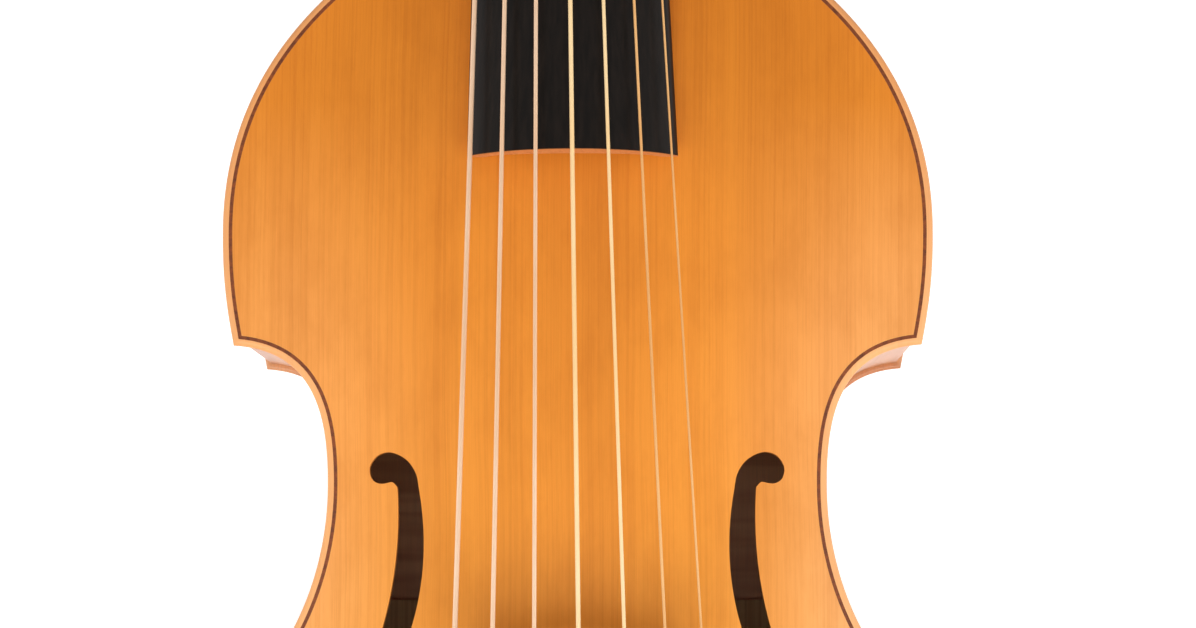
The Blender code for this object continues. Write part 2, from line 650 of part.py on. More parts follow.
def make_bars(tree):
    """Bass bar, sound post and its plate, and the two bars across the back."""
    sections = []
    for share in np.linspace(0, 1, 13):
        y = BASS_BAR_Y[0] + share * (BASS_BAR_Y[1] - BASS_BAR_Y[0])
        depth = BASS_BAR_TIP + (BASS_BAR_DEPTH - BASS_BAR_TIP) * math.sin(math.pi * share) ** 0.8
        sides = [BASS_BAR_X + e * BASS_BAR_WIDTH / 2 for e in (-1, 1)]
        tops = [surface(tree, x, y, False) - GAP for x in sides]
        low = min(tops) - depth
        sections.append([(sides[0], y, low), (sides[1], y, low),
                         (sides[1], y, tops[1]), (sides[0], y, tops[0])])
    loft("bass_bar", sections, BARE_SPRUCE)

    low = BACK_THICKNESS + GAP
    rows = np.linspace(PLATE_Y[0], PLATE_Y[1], 7)
    edge = [(half_width(y, BAR_INSET), y) for y in rows]
    block_edge = inset(BLOCK_INSET)[WAIST][-1, 1] + CORNER_BLOCK_LENGTH
    inner_x = half_width(block_edge, BAR_INSET)
    edge = [(min(x, inner_x) if y < block_edge else x, y) for x, y in edge]
    polygon = edge + [(-x, y) for x, y in edge[::-1]]
    prism("sound_post_plate", polygon, low, low + PLATE_THICKNESS, BARE_SPRUCE)

    x, y = POST_AT
    ring = [(x + POST_RADIUS * math.cos(a), y + POST_RADIUS * math.sin(a))
            for a in np.linspace(0, 2 * math.pi, 16, endpoint=False)]
    top = min(surface(tree, px, py, False) for px, py in ring) - GAP
    rod("sound_post", (x, y, low + PLATE_THICKNESS + GAP), (x, y, top), (POST_RADIUS,) * 2, BARE_SPRUCE, 16)

    y0, y1, y2 = FOLD_Y - FOLD_BAR_HALF, FOLD_Y, FOLD_Y + FOLD_BAR_HALF
    half = min(half_width(y, BAR_INSET) for y in (y0, y1, y2))
    crown = back_top(y2) + GAP + FOLD_BAR_HEIGHT
    section = [(y, back_top(y) + GAP) for y in (y0, y1, y2)] + [(y2, crown), (y0, crown)]
    loft("fold_bar", [[(e * half, y, z) for y, z in section] for e in (-1, 1)], BARE_SPRUCE)
    y0, y1 = LOWER_BAR_Y - LOWER_BAR_HALF, LOWER_BAR_Y + LOWER_BAR_HALF
    half = min(half_width(y, BAR_INSET) for y in (y0, y1))
    block("lower_back_bar", (-half, y0, low), (half, y1, low + LOWER_BAR_HEIGHT), BARE_SPRUCE)


# Neck and fingerboard

def neck_x(y):
    """The neck's centre line in plan."""
    return NECK_X - math.tan(NECK_YAW) * y


def line(y, at_nut, at_end):
    """A height that runs straight from the nut to the fingerboard's free end."""
    share = (NUT_Y - y) / (NUT_Y - BOARD_END_Y)
    return at_nut + share * (at_end - at_nut)


def string_line(y):
    """Height of the heaviest string's middle over the centre line."""
    return BRIDGE_TOP + GAP + LOWEST_STRING - math.tan(STRING_SLOPE) * y


def board_half(y):
    """Half the fingerboard's width."""
    return line(y, BOARD_NUT_WIDTH, BOARD_END_WIDTH) / 2


def board_top(y):
    """Height of the fingerboard's top over the centre line."""
    return line(y, string_line(NUT_Y) - ACTION_NUT, string_line(BOARD_END_Y) - ACTION_END)


def glue_face(y):
    """Height of the fingerboard's flat underside."""
    ends = (NUT_Y, BOARD_END_Y)
    return line(y, *(board_top(e) - sag(board_half(e), BOARD_RADIUS) - BOARD_SIDE for e in ends))


def arc_points(y, top, half, radius, steps=BOARD_STEPS):
    """Points over an arched top from the treble side to the bass side."""
    return [(neck_x(y) + x, y, top - sag(x, radius)) for x in np.linspace(half, -half, steps + 1)]


def make_fingerboard():
    """A spruce core with a thin ebony veneer over its arch, hollowed under the free end."""
    veneer, core = [], []
    lower = BOARD_RADIUS - VENEER_THICKNESS
    seat = lower - GAP
    for y in np.linspace(NUT_Y - GAP, BOARD_END_Y, 9):
        half, top = board_half(y), board_top(y)
        veneer.append(arc_points(y, top, half, BOARD_RADIUS)
                      + arc_points(y, top - VENEER_THICKNESS, half, lower)[::-1])
        x, floor = neck_x(y), glue_face(y)
        core.append(arc_points(y, top - VENEER_THICKNESS - GAP, half, seat)
                    + [(x - half, y, floor), (x + half, y, floor)])
    smooth(loft("fingerboard_veneer", veneer, EBONY))
    core = smooth(loft("fingerboard_core", core, BARE_SPRUCE))
    middle = [(neck_x(y), y, board_top(y) - BOARD_RADIUS) for y in (BOARD_END_Y - PAST, BOARD_HOLLOW_Y)]
    hollow = BOARD_RADIUS - BOARD_HOLLOW
    cut(core, rod("fingerboard_hollow", *middle, (hollow, hollow), sides=48))


def pegbox_point(along, over):
    """The y and z of a place along the pegbox and over its top edge."""
    y = PEGBOX_Y + along * math.cos(PEGBOX_SLOPE) + over * math.sin(PEGBOX_SLOPE)
    z = glue_face(PEGBOX_Y) + PEGBOX_RISE - along * math.sin(PEGBOX_SLOPE) + over * math.cos(PEGBOX_SLOPE)
    return y, z


def pegbox_half(along):
    """Half the pegbox's outer width."""
    share = along / PEGBOX_LENGTH
    return board_half(NUT_Y) + share * (PEGBOX_END_HALF - board_half(NUT_Y))


def pegbox_depth(along):
    """The pegbox's outer depth."""
    return PEGBOX_DEPTHS[0] + along / PEGBOX_LENGTH * (PEGBOX_DEPTHS[1] - PEGBOX_DEPTHS[0])


def neck_depth(y):
    """Depth of the neck under its glue face, without the heel."""
    share = (NUT_Y - y) / (NUT_Y - TOP_Y)
    return NECK_DEPTH_NUT + share * (NECK_DEPTH_HEEL - NECK_DEPTH_NUT)


def round_section(x, y, top, half, depth, power, steps=NECK_STEPS):
    """A section with a flat top and a rounded underside, squarer as the power grows."""
    points = []
    for angle in np.linspace(0, math.pi, steps + 1):
        c, s = math.cos(angle), math.sin(angle)
        side = math.copysign(abs(c) ** (2 / power), c) if abs(c) > 1e-9 else 0.0
        points.append((x + half * side, y, top - depth * abs(s) ** (2 / power)))
    return points


def neck_sections():
    """The neck from the heel's foot to the end of the pegbox."""
    heel_low = back_under(TOP_Y)
    foot = TOP_Y + GAP
    rows = []
    for y in (foot, foot + HEEL_LENGTH):
        rows.append((y, glue_face(y) - heel_low, HEEL_POWER))
    for angle in np.radians((10, 25, 40, 55, 72, 90)):
        y = foot + HEEL_LENGTH + HEEL_SWEEP * (1 - math.cos(angle))
        full = glue_face(y) - heel_low
        drop = 1 - math.sin(angle)
        power = NECK_POWER + (HEEL_POWER - NECK_POWER) * drop
        rows.append((y, neck_depth(y) + (full - neck_depth(y)) * drop, power))
    for y in np.linspace(rows[-1][0], NUT_Y - NECK_STRAIGHT_END, 5)[1:]:
        rows.append((y, neck_depth(y), NECK_POWER))
    rows.append((PEGBOX_Y - GAP / 2, neck_depth(NUT_Y) + NECK_SWELL, NECK_SWELL_POWER))
    sections = [round_section(neck_x(y), y, glue_face(y) - GAP, board_half(y), depth, power)
                for y, depth, power in rows]
    for along, throat, power in PEGBOX_THROAT + ((PEGBOX_LENGTH, 1.0, PEGBOX_POWER),):
        y, top = pegbox_point(along, 0.0)
        sections.append(round_section(neck_x(y), y, top, pegbox_half(along),
                                      pegbox_depth(along) * throat, power))
    return sections


def peg_place(k):
    """The middle of a peg's axis in the pegbox, its side, and half the box's width there."""
    along = FIRST_PEG + k * PEG_SPACING
    y, z = pegbox_point(along, -PEG_DROP)
    return Vector((neck_x(y), y, z)), (-1 if k % 2 == 0 else 1), pegbox_half(along)


def make_neck():
    """Neck, pegbox and scroll, in one piece, with the cavity and the peg holes."""
    neck = smooth(loft("neck", neck_sections(), MAPLE))
    y, z = pegbox_point(*SCROLL_AT)
    for k, (share, half) in enumerate(SCROLL_STEPS):
        radius = SCROLL_RADIUS * share
        turn = rod(f"scroll_turn_{k + 1}", (neck_x(y) - half, y, z), (neck_x(y) + half, y, z),
                   (radius, radius), sides=28)
        cut(neck, turn, "UNION")
    sections = []
    floors = [(along, pegbox_depth(along) - PEGBOX_FLOOR) for along in (CAVITY_RAMP[1], CAVITY_END)]
    for along, deep in [(CAVITY_RAMP[0], CAVITY_START_DEPTH)] + floors:
        half = pegbox_half(along) - PEGBOX_CHEEK
        y, high = pegbox_point(along, 2 * PAST)
        low_y, low = pegbox_point(along, -deep)
        x = neck_x(y)
        sections.append([(x - half, y, high), (x + half, y, high),
                         (x + half, low_y, low), (x - half, low_y, low)])
    cut(neck, loft("pegbox_cavity", sections))
    for k in range(PEGS):
        middle, side, half = peg_place(k)
        reach = Vector((side * (half + PAST), 0, 0))
        radii = [r + TURNING_GAP for r in peg_radii_at(half, -half - PAST, half + PAST)]
        cut(neck, rod(f"peg_hole_{k + 1}", middle - reach, middle + reach, radii, sides=16))


def peg_radii_at(half, *places):
    """The tapered shaft's radii at places along it; the cheeks' outer faces are at -half and half."""
    small, large = PEG_RADII
    return [small + (x + half) / (2 * half) * (large - small) for x in places]


def make_pegs():
    """Tapered pegs with a collar and a flat thumb piece, four on the bass side and three opposite."""
    for k in range(PEGS):
        middle, side, half = peg_place(k)
        start, collar = -half - PEG_TIP, half + PEG_SHAFT_END
        shaft = peg_radii_at(half, start, collar)
        rows = [(start, shaft[0], shaft[0]), (collar, shaft[1], shaft[1])]
        rows += [(half + x, wide, thick) for x, wide, thick in PEG_HEAD]
        sections = []
        for x, wide, thick in rows:
            ring = [(side * x, wide * math.cos(a), thick * math.sin(a))
                    for a in np.linspace(0, 2 * math.pi, 10, endpoint=False)]
            sections.append([middle + Vector(p) for p in ring])
        smooth(loft(f"peg_{k + 1}", sections, BOXWOOD, origin=middle), 50)


def nut_top(x):
    """Height of the nut's crown under a string."""
    seat = string_line(NUT_Y) - LOWEST_STRING - GAP
    return seat - sag(x, BOARD_RADIUS)


def make_nut():
    """The grooveless nut that carries the strings at the end of the fingerboard."""
    sections = []
    half = board_half(NUT_Y)
    y0, y1 = NUT_Y, NUT_Y + NUT_THICKNESS
    for share in np.linspace(-1, 1, 11):
        x = share * half
        top = nut_top(x)
        slope = math.tan(STRING_SLOPE)
        floor = [glue_face(y) for y in (y0, y1)]
        sections.append([(neck_x(y0) + x, y0, floor[0]), (neck_x(y0) + x, y1, floor[1]),
                         (neck_x(y0) + x, y1, top - slope * NUT_THICKNESS), (neck_x(y0) + x, y0, top)])
    smooth(loft("nut", sections, BONE), 40)


def fret_place(k):
    """The y of a fret, by equal semitones."""
    return NUT_Y - (STRING_LENGTH * (1 - 2 ** (-(k + 1) / 12))) * math.cos(STRING_SLOPE)


def fret_axis():
    """The way a fret slides, midway between the board's top and the neck's back."""
    y0, y1 = fret_place(FRETS - 1), fret_place(0)
    top = (board_top(y0) - board_top(y1)) / (y1 - y0)
    under = (glue_face(y0) - neck_depth(y0) - glue_face(y1) + neck_depth(y1)) / (y1 - y0)
    slope = (top + under) / 2
    return Vector((-math.tan(NECK_YAW), 1.0, -slope)).normalized()


def make_frets():
    """Gut frets tied round the neck and board, square to the neck."""
    axis = fret_axis()
    lift = FRET_GAP + FRET_DIAMETER / 2
    for k in range(FRETS):
        y = fret_place(k)
        middle = Vector((neck_x(y), y, glue_face(y)))

        def loop(at):
            """The points round the neck at one station, with two at each edge of the board."""
            half, top = board_half(at), board_top(at)
            edge = top - sag(half, BOARD_RADIUS)
            crown = arc_points(at, top + lift, half, BOARD_RADIUS + lift)
            under = round_section(neck_x(at), at, glue_face(at) - GAP, half + lift,
                                  neck_depth(at) + lift, NECK_POWER)
            turns = [[(neck_x(at) + e * (half + out * lift), at, edge + up * lift)
                      for out, up in ((FRET_BEND, 1), (1, FRET_BEND))] for e in (-1, 1)]
            return crown + turns[0] + under[::-1] + turns[1][::-1]

        flat = loop(y)
        points = []
        for i, place in enumerate(flat):
            shift = (place[2] - middle.z) * -axis.z / axis.y
            points.append(loop(y + shift)[i])
        tube(f"fret_{k + 1}", points, FRET_DIAMETER / 2, GUT, closed=True, origin=middle)


# Bridge, tailpiece and strings

def bridge_top(x):
    """Height of the bridge's crown."""
    return BRIDGE_TOP - sag(x, BRIDGE_ARCH)


def make_bridge(tree):
    """The bridge: two feet, an arched opening between them and three pierced holes."""
    sections = []
    foot, crown = (t / 2 for t in BRIDGE_THICKNESS)
    for share in np.linspace(-1, 1, 25):
        x = share * BRIDGE_HALF
        low = max(surface(tree, NECK_X + x, e * foot, True) for e in (-1, 0, 1)) + GAP
        high = bridge_top(x)
        sections.append([(NECK_X + x, -foot, low), (NECK_X + x, foot, low),
                         (NECK_X + x, crown, high), (NECK_X + x, -crown, high)])
    bridge = smooth(loft("bridge", sections, MAPLE), 40)
    holes = [("bridge_arch", BRIDGE_ARCH_CUT), ("bridge_heart", BRIDGE_HEART)]
    for side, label in ((-1, "bass"), (1, "treble")):
        for name, (x, over, radius) in ((f"{label}_bridge_side", BRIDGE_SIDE_CUT),
                                        (f"{label}_bridge_eye", BRIDGE_EYE)):
            holes.append((name, (side * x, over, radius)))
    for name, (x, over, radius) in holes:
        z = EDGE_TOP + over
        ends = [(NECK_X + x, e * (foot + PAST), z) for e in (-1, 1)]
        cut(bridge, rod(name, *ends, (radius, radius), sides=16 if name.endswith(("heart", "eye")) else 24))


def tail_top(x, y):
    """Height of the tailpiece's arched top."""
    share = (TAIL_TOP_Y - y) / (TAIL_TOP_Y - TAIL_END_Y)
    return EDGE_TOP + TAIL_HEIGHTS[0] + share * (TAIL_HEIGHTS[1] - TAIL_HEIGHTS[0]) - sag(x, TAIL_RADIUS)


def tail_under(y):
    """Height of the tailpiece's flat underside."""
    share = (TAIL_TOP_Y - y) / (TAIL_TOP_Y - TAIL_END_Y)
    half = TAIL_HALVES[0] + share * (TAIL_HALVES[1] - TAIL_HALVES[0])
    return tail_top(0.0, y) - TAIL_THICKNESS - sag(half, TAIL_RADIUS) * TAIL_HOLLOW


def seat_over(x, arch_radius, radius):
    """Height of a string's middle over an arched crown, so that it lies a gap above its slope."""
    return (GAP + radius) / math.sqrt(1 - (x / arch_radius) ** 2)


def string_at_tail(k):
    """The x, from the centre line, at which a string meets the tailpiece."""
    return BRIDGE_SPACING[k] * TAIL_SPREAD


def make_tailpiece():
    """The tailpiece, with a hole for each string and a slot for the hook bar's tongue."""
    sections = []
    for y in np.linspace(TAIL_TOP_Y, TAIL_END_Y, 9):
        share = (TAIL_TOP_Y - y) / (TAIL_TOP_Y - TAIL_END_Y)
        half = TAIL_HALVES[0] + share * (TAIL_HALVES[1] - TAIL_HALVES[0])
        top = [(NECK_X + x, y, tail_top(x, y)) for x in np.linspace(half, -half, 9)]
        low, flat = tail_under(y), half * TAIL_FLAT
        side = max(low, tail_top(half, y) - TAIL_EDGE)
        sections.append(top + [(NECK_X - half, y, side), (NECK_X - flat, y, low),
                               (NECK_X + flat, y, low), (NECK_X + half, y, side)])
    tail = smooth(loft("tailpiece", sections, EBONY), 40)
    for k in range(len(STRING_DIAMETERS)):
        x, y = NECK_X + string_at_tail(k), TAIL_TOP_Y - TAIL_HOLE_BACK
        z = tail_top(string_at_tail(k), y)
        ends = [(x, y, z - 3 * PAST), (x, y, z + PAST)]
        cut(tail, rod(f"tail_hole_{k + 1}", *ends, (TAIL_HOLE_RADIUS,) * 2, sides=10))
    y0, y1 = hook_bar_faces()
    low = EDGE_TOP
    cut(tail, block("tongue_slot", (NECK_X - HOOK_TONGUE_HALF - GAP, y0 - GAP, low),
                    (NECK_X + HOOK_TONGUE_HALF + GAP, y1 + GAP, low + TAIL_HEIGHTS[0] + PAST)))


def hook_bar_faces():
    """The y of the hook bar's tongue: its outer and inner faces."""
    inner = BOTTOM_Y + OVERHANG - GAP
    return inner - HOOK_BAR_THICKNESS + GAP, inner - GAP


def make_hook_bar():
    """The bar on the bottom ribs whose tongue holds the tailpiece."""
    inner = BOTTOM_Y + OVERHANG - GAP
    outer = inner - HOOK_BAR_THICKNESS
    y0, y1 = hook_bar_faces()
    shoulder = tail_under(outer) - 2 * GAP
    top = tail_top(0.0, outer) + HOOK_TONGUE_RISE
    rows = [(HOOK_BAR_LOW, HOOK_BAR_HALF, outer, inner, 0.0), (EDGE_TOP, HOOK_BAR_HALF, outer, inner, 0.0),
            (shoulder, HOOK_BAR_HALF, outer, inner, NECK_X), (shoulder, HOOK_TONGUE_HALF, y0, y1, NECK_X),
            (top, HOOK_TONGUE_HALF, y0, y1, NECK_X)]
    sections = [[(x - half, a, z), (x + half, a, z), (x + half, b, z), (x - half, b, z)]
                for z, half, a, b, x in rows]
    loft("hook_bar", sections, MAPLE)


def string_route(k):
    """The points of one string, from its hole in the tailpiece to the top of its peg."""
    radius = STRING_DIAMETERS[k] / 2
    tail_x = string_at_tail(k)
    hole_y = TAIL_TOP_Y - TAIL_HOLE_BACK
    tail_seat = seat_over(tail_x, TAIL_RADIUS, radius)
    tail_z = tail_top(tail_x, hole_y) + tail_seat
    flat = BRIDGE_THICKNESS[1] / 2 + 2 * GAP
    bridge = BRIDGE_SPACING[k]
    bridge_z = bridge_top(bridge) + seat_over(bridge, BRIDGE_ARCH, radius)
    nut = NUT_SPACING[k]
    nut_z = nut_top(nut) + seat_over(nut, BOARD_RADIUS, radius)
    peg = 2 * k if k < (PEGS + 1) // 2 else 2 * (PEGS - 1 - k) + 1
    middle, side, _ = peg_place(peg)
    peg_x = middle.x + nut * PEG_CROWD
    shaft = max(PEG_RADII)
    return [(NECK_X + tail_x, hole_y, tail_z - 0.006), (NECK_X + tail_x, hole_y, tail_z),
            (NECK_X + tail_x, TAIL_TOP_Y, tail_top(tail_x, TAIL_TOP_Y) + tail_seat),
            (NECK_X + bridge, -flat, bridge_z), (NECK_X + bridge, flat, bridge_z),
            (neck_x(NUT_Y) + nut, NUT_Y, nut_z),
            (neck_x(NUT_Y) + nut, NUT_Y + NUT_THICKNESS, nut_z - math.tan(STRING_SLOPE) * NUT_THICKNESS),
            (peg_x, middle.y, middle.z + shaft + GAP + radius)]


def make_strings():
    """Seven strings: three overspun and four of plain gut."""
    for k, diameter in enumerate(STRING_DIAMETERS):
        finish = OVERSPUN if k < 3 else GUT
        tube(f"string_{k + 1}", string_route(k), diameter / 2, finish)


def main():
    """Build the viol."""
    clear_scene()
    front_faces = make_plates()
    make_ribs()
    make_linings()
    make_blocks()
    make_bars(front_faces)
    make_neck()
    make_fingerboard()
    make_nut()
    make_frets()
    make_pegs()
    make_bridge(front_faces)
    make_tailpiece()
    make_hook_bar()
    make_strings()


main()
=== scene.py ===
# %% [markdown]
# # A seven-string bass viol
# A viol is a bowed instrument with a flat back, an arched spruce front and tied gut frets. The solid
# model of it is the frame here, and each cell below dresses one piece of it: a finer surface in the
# same place, with the wood, gut or bone that the real piece is made of.

# %% Load the frame
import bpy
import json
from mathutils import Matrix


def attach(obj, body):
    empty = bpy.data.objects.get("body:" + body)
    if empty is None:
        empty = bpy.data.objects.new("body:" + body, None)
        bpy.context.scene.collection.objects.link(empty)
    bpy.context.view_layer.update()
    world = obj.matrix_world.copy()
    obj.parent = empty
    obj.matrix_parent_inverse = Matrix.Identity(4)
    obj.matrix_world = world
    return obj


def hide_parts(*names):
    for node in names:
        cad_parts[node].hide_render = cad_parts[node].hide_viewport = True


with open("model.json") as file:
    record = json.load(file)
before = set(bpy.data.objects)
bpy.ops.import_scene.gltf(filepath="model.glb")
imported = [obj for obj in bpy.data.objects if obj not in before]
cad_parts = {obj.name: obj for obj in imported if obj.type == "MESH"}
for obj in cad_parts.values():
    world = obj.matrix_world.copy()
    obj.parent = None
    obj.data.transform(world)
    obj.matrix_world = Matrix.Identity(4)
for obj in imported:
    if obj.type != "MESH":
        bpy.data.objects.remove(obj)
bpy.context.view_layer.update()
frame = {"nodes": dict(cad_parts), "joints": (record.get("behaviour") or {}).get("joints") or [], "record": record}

import json
import math

import bmesh
import bpy
import numpy as np
from mathutils import Matrix, Vector

print("pieces in the frame:", len(frame["nodes"]))

# %% [markdown]
# ## Camera, ground and light
# The photograph was taken from above, from over a place just past the bridge, with a long lens that
# leans a little towards the neck. The camera is placed in real sizes: its height over the front, the
# point below it and the point it looks at.

# %% Camera
EDGE_UNDER = 0.1264              # underside of the front at its edge
FRONT_THICKNESS = 0.0046
EDGE_TOP = EDGE_UNDER + FRONT_THICKNESS
CAMERA_HEIGHT = 1.450
CAMERA_FOOT = (0.0355, 0.0083)
CAMERA_AIM = (0.0097, 0.1595)
FOCAL_PIXELS = 3164
PICTURE_WIDTH = 1196
SENSOR_WIDTH = 36                # millimetres


def aim(thing, place, target, up=(0, 1, 0)):
    """Put a camera or lamp at a place, looking at a target."""
    ahead = (Vector(target) - Vector(place)).normalized()
    right = ahead.cross(Vector(up)).normalized()
    turned = Matrix((right, right.cross(ahead), -ahead)).transposed().to_4x4()
    thing.matrix_world = Matrix.Translation(place) @ turned


camera = bpy.data.objects.new("camera", bpy.data.cameras.new("camera"))
bpy.context.scene.collection.objects.link(camera)
camera.data.sensor_width = SENSOR_WIDTH
camera.data.lens = FOCAL_PIXELS * SENSOR_WIDTH / PICTURE_WIDTH
aim(camera, (*CAMERA_FOOT, EDGE_TOP + CAMERA_HEIGHT), (*CAMERA_AIM, EDGE_TOP))
bpy.context.scene.camera = camera
bpy.context.scene.view_settings.view_transform = "Standard"
print("lens", round(camera.data.lens, 2), "mm")

# %% [markdown]
# Materials are made of nodes. One helper adds a node, sets its own settings and fills its inputs,
# either with a value or with another node's output.

# %% Node helpers
def colour(red, green, blue):
    """A colour as a screen shows it, 0 to 255, turned into the linear light that shaders use."""
    share = np.array([red, green, blue]) / 255
    light = np.where(share < 0.04045, share / 12.92, ((share + 0.055) / 1.055) ** 2.4)
    return (*light.tolist(), 1.0)


def node(tree, kind, inputs=(), **settings):
    """Add a node with its settings; an input takes a value or another node's output."""
    made = tree.nodes.new("ShaderNode" + kind)
    for key, value in settings.items():
        setattr(made, key, value)
    for key, value in dict(inputs).items():
        if isinstance(value, bpy.types.NodeSocket):
            tree.links.new(value, made.inputs[key])
        else:
            made.inputs[key].default_value = value
    return made


def mix(tree, share, first, second, blend="MIX"):
    """A mixture of two colours."""
    made = node(tree, "Mix", data_type="RGBA", blend_type=blend)
    for key, value in ((0, share), (6, first), (7, second)):
        if isinstance(value, bpy.types.NodeSocket):
            tree.links.new(value, made.inputs[key])
        else:
            made.inputs[key].default_value = value
    return made.outputs[2]


def ramp(tree, value, stops):
    """A colour read off a row of (position, colour) stops."""
    made = node(tree, "ValToRGB", {"Fac": value})
    while len(made.color_ramp.elements) < len(stops):
        made.color_ramp.elements.new(0.5)
    for element, (at, shade) in zip(made.color_ramp.elements, stops):
        element.position = at
        element.color = shade
    return made.outputs["Color"]


def grain(tree, place, scale, detail=2.0, rough=0.5, warp=0.0):
    """Noise over Object coordinates, stretched by a scale along each axis."""
    mapped = node(tree, "Mapping", {"Vector": place, "Scale": scale})
    return node(tree, "TexNoise", {"Vector": mapped.outputs["Vector"], "Scale": 1.0, "Detail": detail,
                                   "Roughness": rough, "Distortion": warp}).outputs["Fac"]


def new_material(name):
    """An empty material with its shader, its tree and its Object coordinates."""
    made = bpy.data.materials.new(name)
    made.use_nodes = True
    tree = made.node_tree
    place = node(tree, "TexCoord").outputs["Object"]
    return made, tree, tree.nodes["Principled BSDF"], place


def grey(level):
    """A grey, from 0 to 1."""
    return (level, level, level, 1.0)


def maths(tree, operation, *values, clamp=False):
    """A sum worked out by a node, on values or on other nodes' outputs."""
    return node(tree, "Math", dict(enumerate(values)), operation=operation, use_clamp=clamp).outputs[0]


def between(tree, value, start, end, **settings):
    """A share that runs from 0 where a value is at its start to 1 at its end, and no further."""
    return node(tree, "MapRange", {"Value": value, "From Min": start, "From Max": end}, **settings).outputs[0]


def dress(tree, shader, base_colour, values):
    """Link the base colour and set the shader's own values by their names."""
    tree.links.new(base_colour, shader.inputs["Base Color"])
    for key, value in values.items():
        shader.inputs[key].default_value = value


def relief(tree, shader, height, strength, depth):
    """Fine relief from a pattern, by its strength and its depth in metres."""
    bump = node(tree, "Bump", {"Height": height, "Strength": strength, "Distance": depth})
    tree.links.new(bump.outputs[0], shader.inputs["Normal"])


# %% [markdown]
# The ground is plain and pale. A part of its whiteness is shown only to the camera and to mirror-like
# rays, so that it reads as white while the viol is lit at a plain level and still drops its shadow.

# %% Ground and light
FLOOR_DROP = 0.0006
FLOOR_HALF = 9.0
FLOOR_GREY, FLOOR_GLOW = 0.80, 0.62
SKY_STRENGTH = 0.36
corners = [(x * FLOOR_HALF, y * FLOOR_HALF, -FLOOR_DROP) for x, y in ((-1, -1), (1, -1), (1, 1), (-1, 1))]
floor_mesh = bpy.data.meshes.new("floor")
floor_mesh.from_pydata(corners, [], [(0, 1, 2, 3)])
floor = bpy.data.objects.new("floor", floor_mesh)
bpy.context.scene.collection.objects.link(floor)
ground, tree, _, _ = new_material("ground")
rays = node(tree, "LightPath")
seen = maths(tree, "ADD", rays.outputs["Is Camera Ray"], rays.outputs["Is Glossy Ray"])
seen = maths(tree, "ADD", seen, rays.outputs["Is Transmission Ray"], clamp=True)
paper = node(tree, "BsdfDiffuse", {"Color": grey(FLOOR_GREY)})
glow = node(tree, "Emission", {"Color": grey(1.0), "Strength": FLOOR_GLOW})
both = node(tree, "AddShader", {0: paper.outputs[0], 1: glow.outputs[0]})
choice = node(tree, "MixShader", {0: seen, 1: paper.outputs[0], 2: both.outputs[0]})
tree.links.new(choice.outputs[0], tree.nodes["Material Output"].inputs["Surface"])
floor_mesh.materials.append(ground)

world = bpy.data.worlds.new("studio")
bpy.context.scene.world = world
world.use_nodes = True
sky = world.node_tree
rays = node(sky, "LightPath")
dim = node(sky, "Background", {"Color": grey(1.0), "Strength": SKY_STRENGTH})
white = node(sky, "Background", {"Color": grey(1.0), "Strength": 1.0})
choice = node(sky, "MixShader", {0: rays.outputs["Is Camera Ray"], 1: dim.outputs[0], 2: white.outputs[0]})
sky.links.new(choice.outputs[0], sky.nodes["World Output"].inputs["Surface"])

# Each lamp's place, its width and height, and its power in watts
LAMPS = {"left_box": ((-1.9, -0.3, 1.25), (1.4, 2.0), 17.0),
         "right_box": ((1.9, -0.4, 1.25), (1.4, 2.0), 22.0),
         "low_box": ((0.0, -1.2, 2.5), (2.6, 1.4), 50.0)}
LAMP_AIM = (0, 0.1, EDGE_TOP)
for name, (place, size, power) in LAMPS.items():
    lamp = bpy.data.lights.new(name, "AREA")
    lamp.shape = "RECTANGLE"
    lamp.size, lamp.size_y = size
    lamp.energy = power
    thing = bpy.data.objects.new(name, lamp)
    bpy.context.scene.collection.objects.link(thing)
    aim(thing, place, LAMP_AIM)
print("lamps:", ", ".join(LAMPS))

# %% [markdown]
# ## Woods, gut and bone
# Spruce is straight-grained: dark late wood in fine lines along the string direction, about a
# millimetre apart, with broad bands where the front was bent and joined from several staves. The
# varnish is a warm golden brown. Painted light and shade lie on it: painted shade darkens it towards
# the neck, painted light and sheen pale it at the sides towards the bottom, and a painted highlight
# pales the rounded edge.

# %% Varnished spruce
SPRUCE = colour(240, 154, 54)
# Painted light and sheen: a paler varnish colour for the lower sides of the front
SPRUCE_PAINTED_LIGHT = colour(252, 182, 116)
# Painted shade: a deeper varnish colour for the front towards the neck
SPRUCE_PAINTED_SHADE = colour(214, 122, 26)
# Painted highlight: a paler colour for the front's rounded edge
RIM_PAINTED_HIGHLIGHT = colour(255, 200, 150)

# Where the painted shade deepens the varnish: towards the neck
PAINTED_SHADE_NECK_FADE = (0.02, 0.36)         # along the body, towards the neck
# Where the painted light and sheen pale the varnish: at the sides and towards the bottom
PAINTED_LIGHT_SIDE_FADE = (0.055, 0.150)       # outwards from the middle
PAINTED_LIGHT_LOW_FADE = (0.26, 0.04)          # along the body, towards the bottom
# Where the painted highlight pales the rounded edge, and how strongly
PAINTED_HIGHLIGHT_RIM_FADE = (0.0050, 0.0030)      # outwards, as distances from the edge
PAINTED_HIGHLIGHT_SHARE = 0.35
WAVER = 0.004                    # how far the grain lines stray sideways

spruce, tree, shader, place = new_material("varnished_spruce")
axes = node(tree, "SeparateXYZ", {0: place})
waver = grain(tree, place, (3.0, 7.0, 3.0), detail=1.0)
shift = maths(tree, "MULTIPLY_ADD", waver, WAVER, axes.outputs["X"])
across = node(tree, "CombineXYZ", {"X": shift, "Y": axes.outputs["Y"], "Z": axes.outputs["Z"]}).outputs[0]
lines = grain(tree, across, (760.0, 3.0, 3.0), detail=1.5, rough=0.6)
fibres = grain(tree, across, (2600.0, 60.0, 60.0), detail=2.0)
bands = grain(tree, across, (26.0, 0.6, 0.6), detail=1.0)
cloud = grain(tree, place, (46.0, 20.0, 20.0), detail=4.0, rough=0.65)
